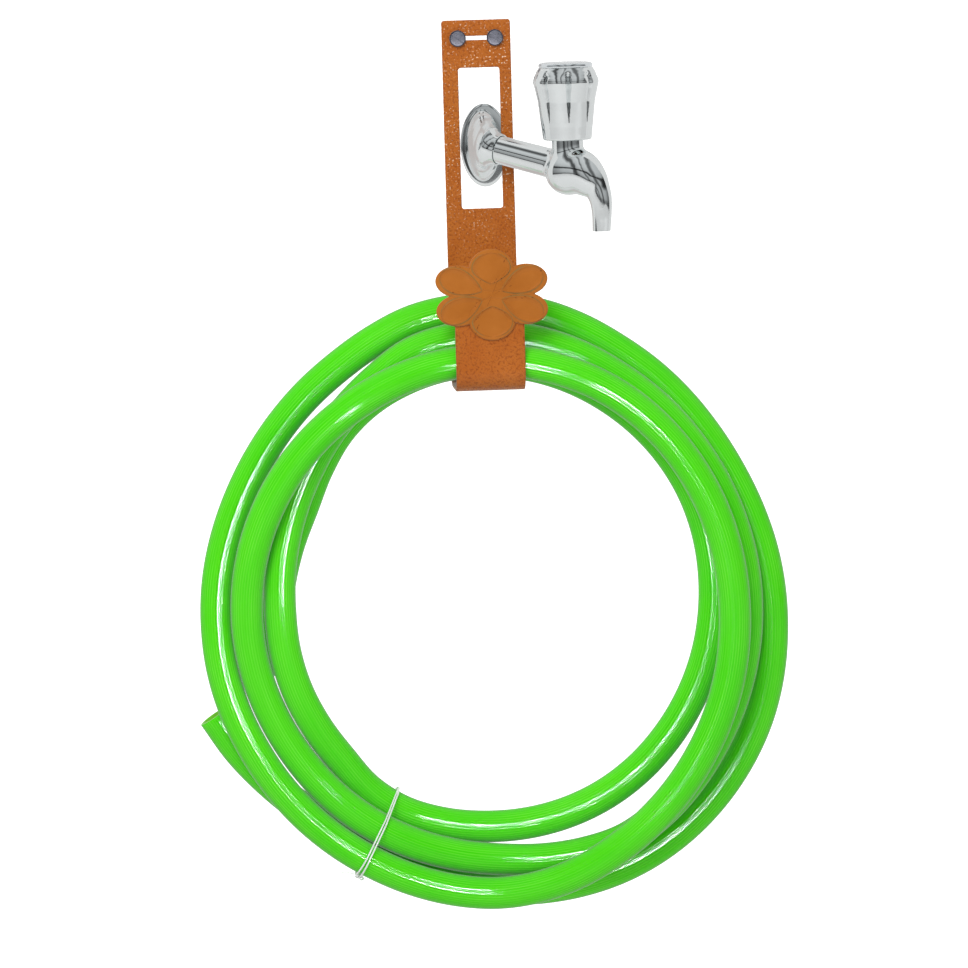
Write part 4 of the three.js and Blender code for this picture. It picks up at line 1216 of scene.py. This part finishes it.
def knob():
    """The knob: V-shaped flutes that grow from nothing near the bottom and run out at the top."""
    angle = round_angles(480)
    phase = np.abs((angle * FLUTES / (2 * math.pi) + 0.5) % 1 - 0.5)
    aside = phase * 2 * math.pi / FLUTES
    between = 1 - np.cos(math.pi * np.clip(1 - phase * 2, 0, 1))
    heights = np.concatenate([np.linspace(0, 2, 7)[:-1], np.linspace(2, KNOB_HEIGHT, 118)])
    rings = []
    for h, r in zip(heights, np.interp(heights, *zip(*KNOB_RINGS))):
        share = np.clip((h - FLUTE_LOW) / (FLUTE_TOP - FLUTE_LOW), 0, 1)
        fade = ease((KNOB_HEIGHT - 1.0 - h) / 5.5)
        half = 2.2 * share**0.6 + 0.05
        groove = FLUTE_DEEP * share**0.9 * fade * np.clip(1 - aside * r / half, 0, 1)
        land = LAND_FALL * share * fade * between
        rings.append(circle(angle, r - groove - land, KNOB_LOW + h))
    rings += [circle(angle, r, h) for r, h in KNOB_INSIDE]
    piece = loft("knob.fluted", (np.array(rings) + VALVE) * MM, closed=True)
    dress(piece, chrome(), "knob_and_spindle", "knob", 35)


def knob_cap():
    profile = [(r, CAP_SEAT + h) for r, h in CAP]
    piece = turned("knob_cap.turned", profile, VALVE * MM, "Z", 128)
    dress(piece, cap_chrome(), "knob_and_spindle", "knob_cap", 40)


def carried_over():
    """The pieces hidden in the valve keep their CAD shapes and get their own metals and rubbers."""
    brass = metal("cast_brass", (0.42, 0.27, 0.07), (0.62, 0.42, 0.13), (0.25, 0.45)).material
    steel = metal("bright_steel", (0.28, 0.28, 0.30), (0.48, 0.48, 0.50), (0.2, 0.4)).material
    rubber = soft("black_rubber", (0.008, 0.008, 0.009), (0.022, 0.022, 0.023), 0.75, 300, 0.0001)
    fibre = soft("red_fibre", (0.18, 0.035, 0.015), (0.32, 0.07, 0.03), 0.8, 400, 0.00015)
    worn = [
        (brass, ("bonnet", "spindle", "valve_carrier", "washer_nut")),
        (steel, ("spindle_circlip", "knob_screw")),
        (rubber, ("spindle_oring_lower", "spindle_oring_upper", "seat_washer")),
        (fibre, ("bonnet_gasket",)),
    ]
    for look, nodes in worn:
        for node in nodes:
            wear(NODES[node], look)


# ---- stage, light and camera ---------------------------------------------------------------------

STAGE_HALF = 4.0
WALL_HIGH = 3.0
FLOOR_Z = -0.72
LIGHTS_AIM = Vector((0, 0, -0.3))
# What the chrome mirrors: place and brightness, from left to right and from below to above.
SIDE_BANDS = [
    (0.0, 0.30), (0.08, 0.62), (0.17, 0.66), (0.22, 0.10), (0.27, 0.08), (0.32, 0.50), (0.43, 0.62),
    (0.455, 0.20), (0.48, 0.20), (0.51, 0.55), (0.62, 0.62), (0.67, 0.16), (0.73, 0.14), (0.79, 0.56),
    (0.92, 0.5), (1.0, 0.2),
]
HEIGHT_BANDS = [
    (0.0, 0.16), (0.14, 0.26), (0.24, 0.50), (0.40, 0.62), (0.44, 0.26), (0.46, 0.26), (0.50, 0.72),
    (0.62, 0.86), (0.650, 0.06), (0.676, 0.06), (0.70, 0.80), (0.80, 1.0), (1.0, 1.1),
]


def plain_sheet(name, corners, glow, tint):
    """A pale sheet that glows for the camera, so that it stays plain, and is clear from behind."""
    sheet = new_object(name, corners, [(0, 1, 2, 3)], smooth=False)
    look = Look(name, tint, 0.9)
    look.color(look.mix(look.noise(3, 3), tuple(c * 0.985 for c in tint), tint))
    look.set("Specular IOR Level", 0.05)
    rays = look.node("ShaderNodeLightPath")
    geometry = look.node("ShaderNodeNewGeometry")
    emission = look.node("ShaderNodeEmission")
    emission.inputs["Color"].default_value = (1, 1, 0.997, 1)
    strength = look.math("MULTIPLY_ADD", rays.outputs["Is Camera Ray"], glow, 0.5)
    look.feed(strength, emission.inputs["Strength"])
    plain = look.node("ShaderNodeAddShader")
    look.feed(look.shader.outputs[0], plain.inputs[0])
    look.feed(emission.outputs[0], plain.inputs[1])
    clear = look.node("ShaderNodeBsdfTransparent")
    either = look.node("ShaderNodeMixShader")
    through = look.math("MAXIMUM", geometry.outputs["Backfacing"], rays.outputs["Is Shadow Ray"])
    for source, target in zip((through, plain.outputs[0], clear.outputs[0]), either.inputs):
        look.feed(source, target)
    look.feed(either.outputs[0], look.tree.nodes["Material Output"].inputs["Surface"])
    wear(sheet, look.material)


def stage():
    w, y = STAGE_HALF, WALL_Y + 0.0002
    wall = [(-w, y, FLOOR_Z), (w, y, FLOOR_Z), (w, y, WALL_HIGH), (-w, y, WALL_HIGH)]
    floor = [(-w, -w, FLOOR_Z), (w, -w, FLOOR_Z), (w, w, FLOOR_Z), (-w, w, FLOOR_Z)]
    plain_sheet("stage_wall", wall, 0.78, (0.22, 0.22, 0.218))
    plain_sheet("stage_floor", floor, 0.70, (0.25, 0.25, 0.248))


def way_from(azimuth, elevation):
    """The way from the object to an onlooker; azimuth 0 is the front, and grows to the right."""
    flat = math.cos(elevation)
    return Vector((math.sin(azimuth) * flat, -math.cos(azimuth) * flat, math.sin(elevation)))


def area_light(name, azimuth, elevation, distance, size, power, glossy=True, diffuse=True):
    """A soft box aimed at the object, from an azimuth and elevation in degrees."""
    data = bpy.data.lights.new(name, "AREA")
    data.shape = "RECTANGLE"
    data.size, data.size_y = size
    data.energy = power
    lamp = bpy.data.objects.new(name, data)
    bpy.context.scene.collection.objects.link(lamp)
    way = way_from(math.radians(azimuth), math.radians(elevation))
    lamp.location = LIGHTS_AIM + way * distance
    lamp.rotation_mode = "QUATERNION"
    lamp.rotation_quaternion = (-way).to_track_quat("-Z", "Y")
    lamp.visible_glossy = glossy
    lamp.visible_diffuse = diffuse
    return lamp


def lights():
    """A key, a fill and two lights from behind, and a small one that only gives the hose its glints."""
    area_light("key", -22, 34, distance=2.6, size=(1.3, 1.3), power=46, glossy=False)
    glint = area_light("glint", 2, -8, distance=0.72, size=(0.09, 0.09), power=5, diffuse=False)
    only_hose = bpy.data.collections.new("glint_receivers")
    for made in bpy.context.scene.objects:
        if made.name.startswith("hose"):
            only_hose.objects.link(made)
    glint.light_linking.receiver_collection = only_hose
    area_light("fill_right", 48, 8, distance=2.6, size=(1.2, 1.8), power=9, glossy=False)
    area_light("behind_left", -140, 25, distance=2.4, size=(1.0, 1.0), power=18)
    area_light("behind_right", 140, -10, distance=2.4, size=(1.0, 1.0), power=12)


def surroundings():
    """Even light from all round, which mirrors see as a banded studio."""
    world = bpy.data.worlds.new("studio_world")
    bpy.context.scene.world = world
    world.use_nodes = True
    sky = Nodes(world.node_tree)
    ways = sky.split(sky.node("ShaderNodeTexCoord").outputs["Generated"])

    def banded(way, bands):
        place = sky.math("MULTIPLY_ADD", way, 0.5, 0.5)
        return sky.ramp(place, [(at, (v * 0.985, v, v * 1.005)) for at, v in bands])

    mirrored = sky.mix(1.0, banded(ways["X"], SIDE_BANDS), banded(ways["Z"], HEIGHT_BANDS), "MULTIPLY")
    glossy = sky.node("ShaderNodeLightPath").outputs["Is Glossy Ray"]
    background = sky.tree.nodes["Background"]
    sky.feed(sky.mix(glossy, (0.45, 0.45, 0.452), mirrored), background.inputs["Color"])
    background.inputs["Strength"].default_value = 1.0


def camera():
    """The photograph's viewing angle, from far off."""
    data = bpy.data.cameras.new("camera")
    data.lens = data.sensor_width * CAMERA_DISTANCE / FRAME_WIDTH
    data.clip_end = 50
    cam = bpy.data.objects.new("camera", data)
    bpy.context.scene.collection.objects.link(cam)
    back = way_from(CAMERA_AZIMUTH, CAMERA_ELEVATION)
    cam.location = CAMERA_TARGET + back * CAMERA_DISTANCE
    cam.rotation_mode = "QUATERNION"
    cam.rotation_quaternion = (-back).to_track_quat("-Z", "Y") @ Quaternion((0, 0, 1), -CAMERA_ROLL)
    bpy.context.scene.camera = cam


def keep_out_of_mirrors(names):
    """The chrome doesn't mirror the pieces with these names."""
    for made in bpy.context.scene.objects:
        if made.name.startswith(names):
            made.visible_glossy = False


tie(hose())
strap()
flower()
keep_out_of_mirrors(("hose", "hanger_strap", "flower_plate"))
screw("screw_left", 0.7)
screw("screw_right", 0.85)
plug("wall_plug_left")
plug("wall_plug_right")
tap_body()
inlet_thread()
flange()
knob()
knob_cap()
carried_over()
stage()
lights()
surroundings()
camera()
bpy.context.scene.view_settings.view_transform = "Standard"
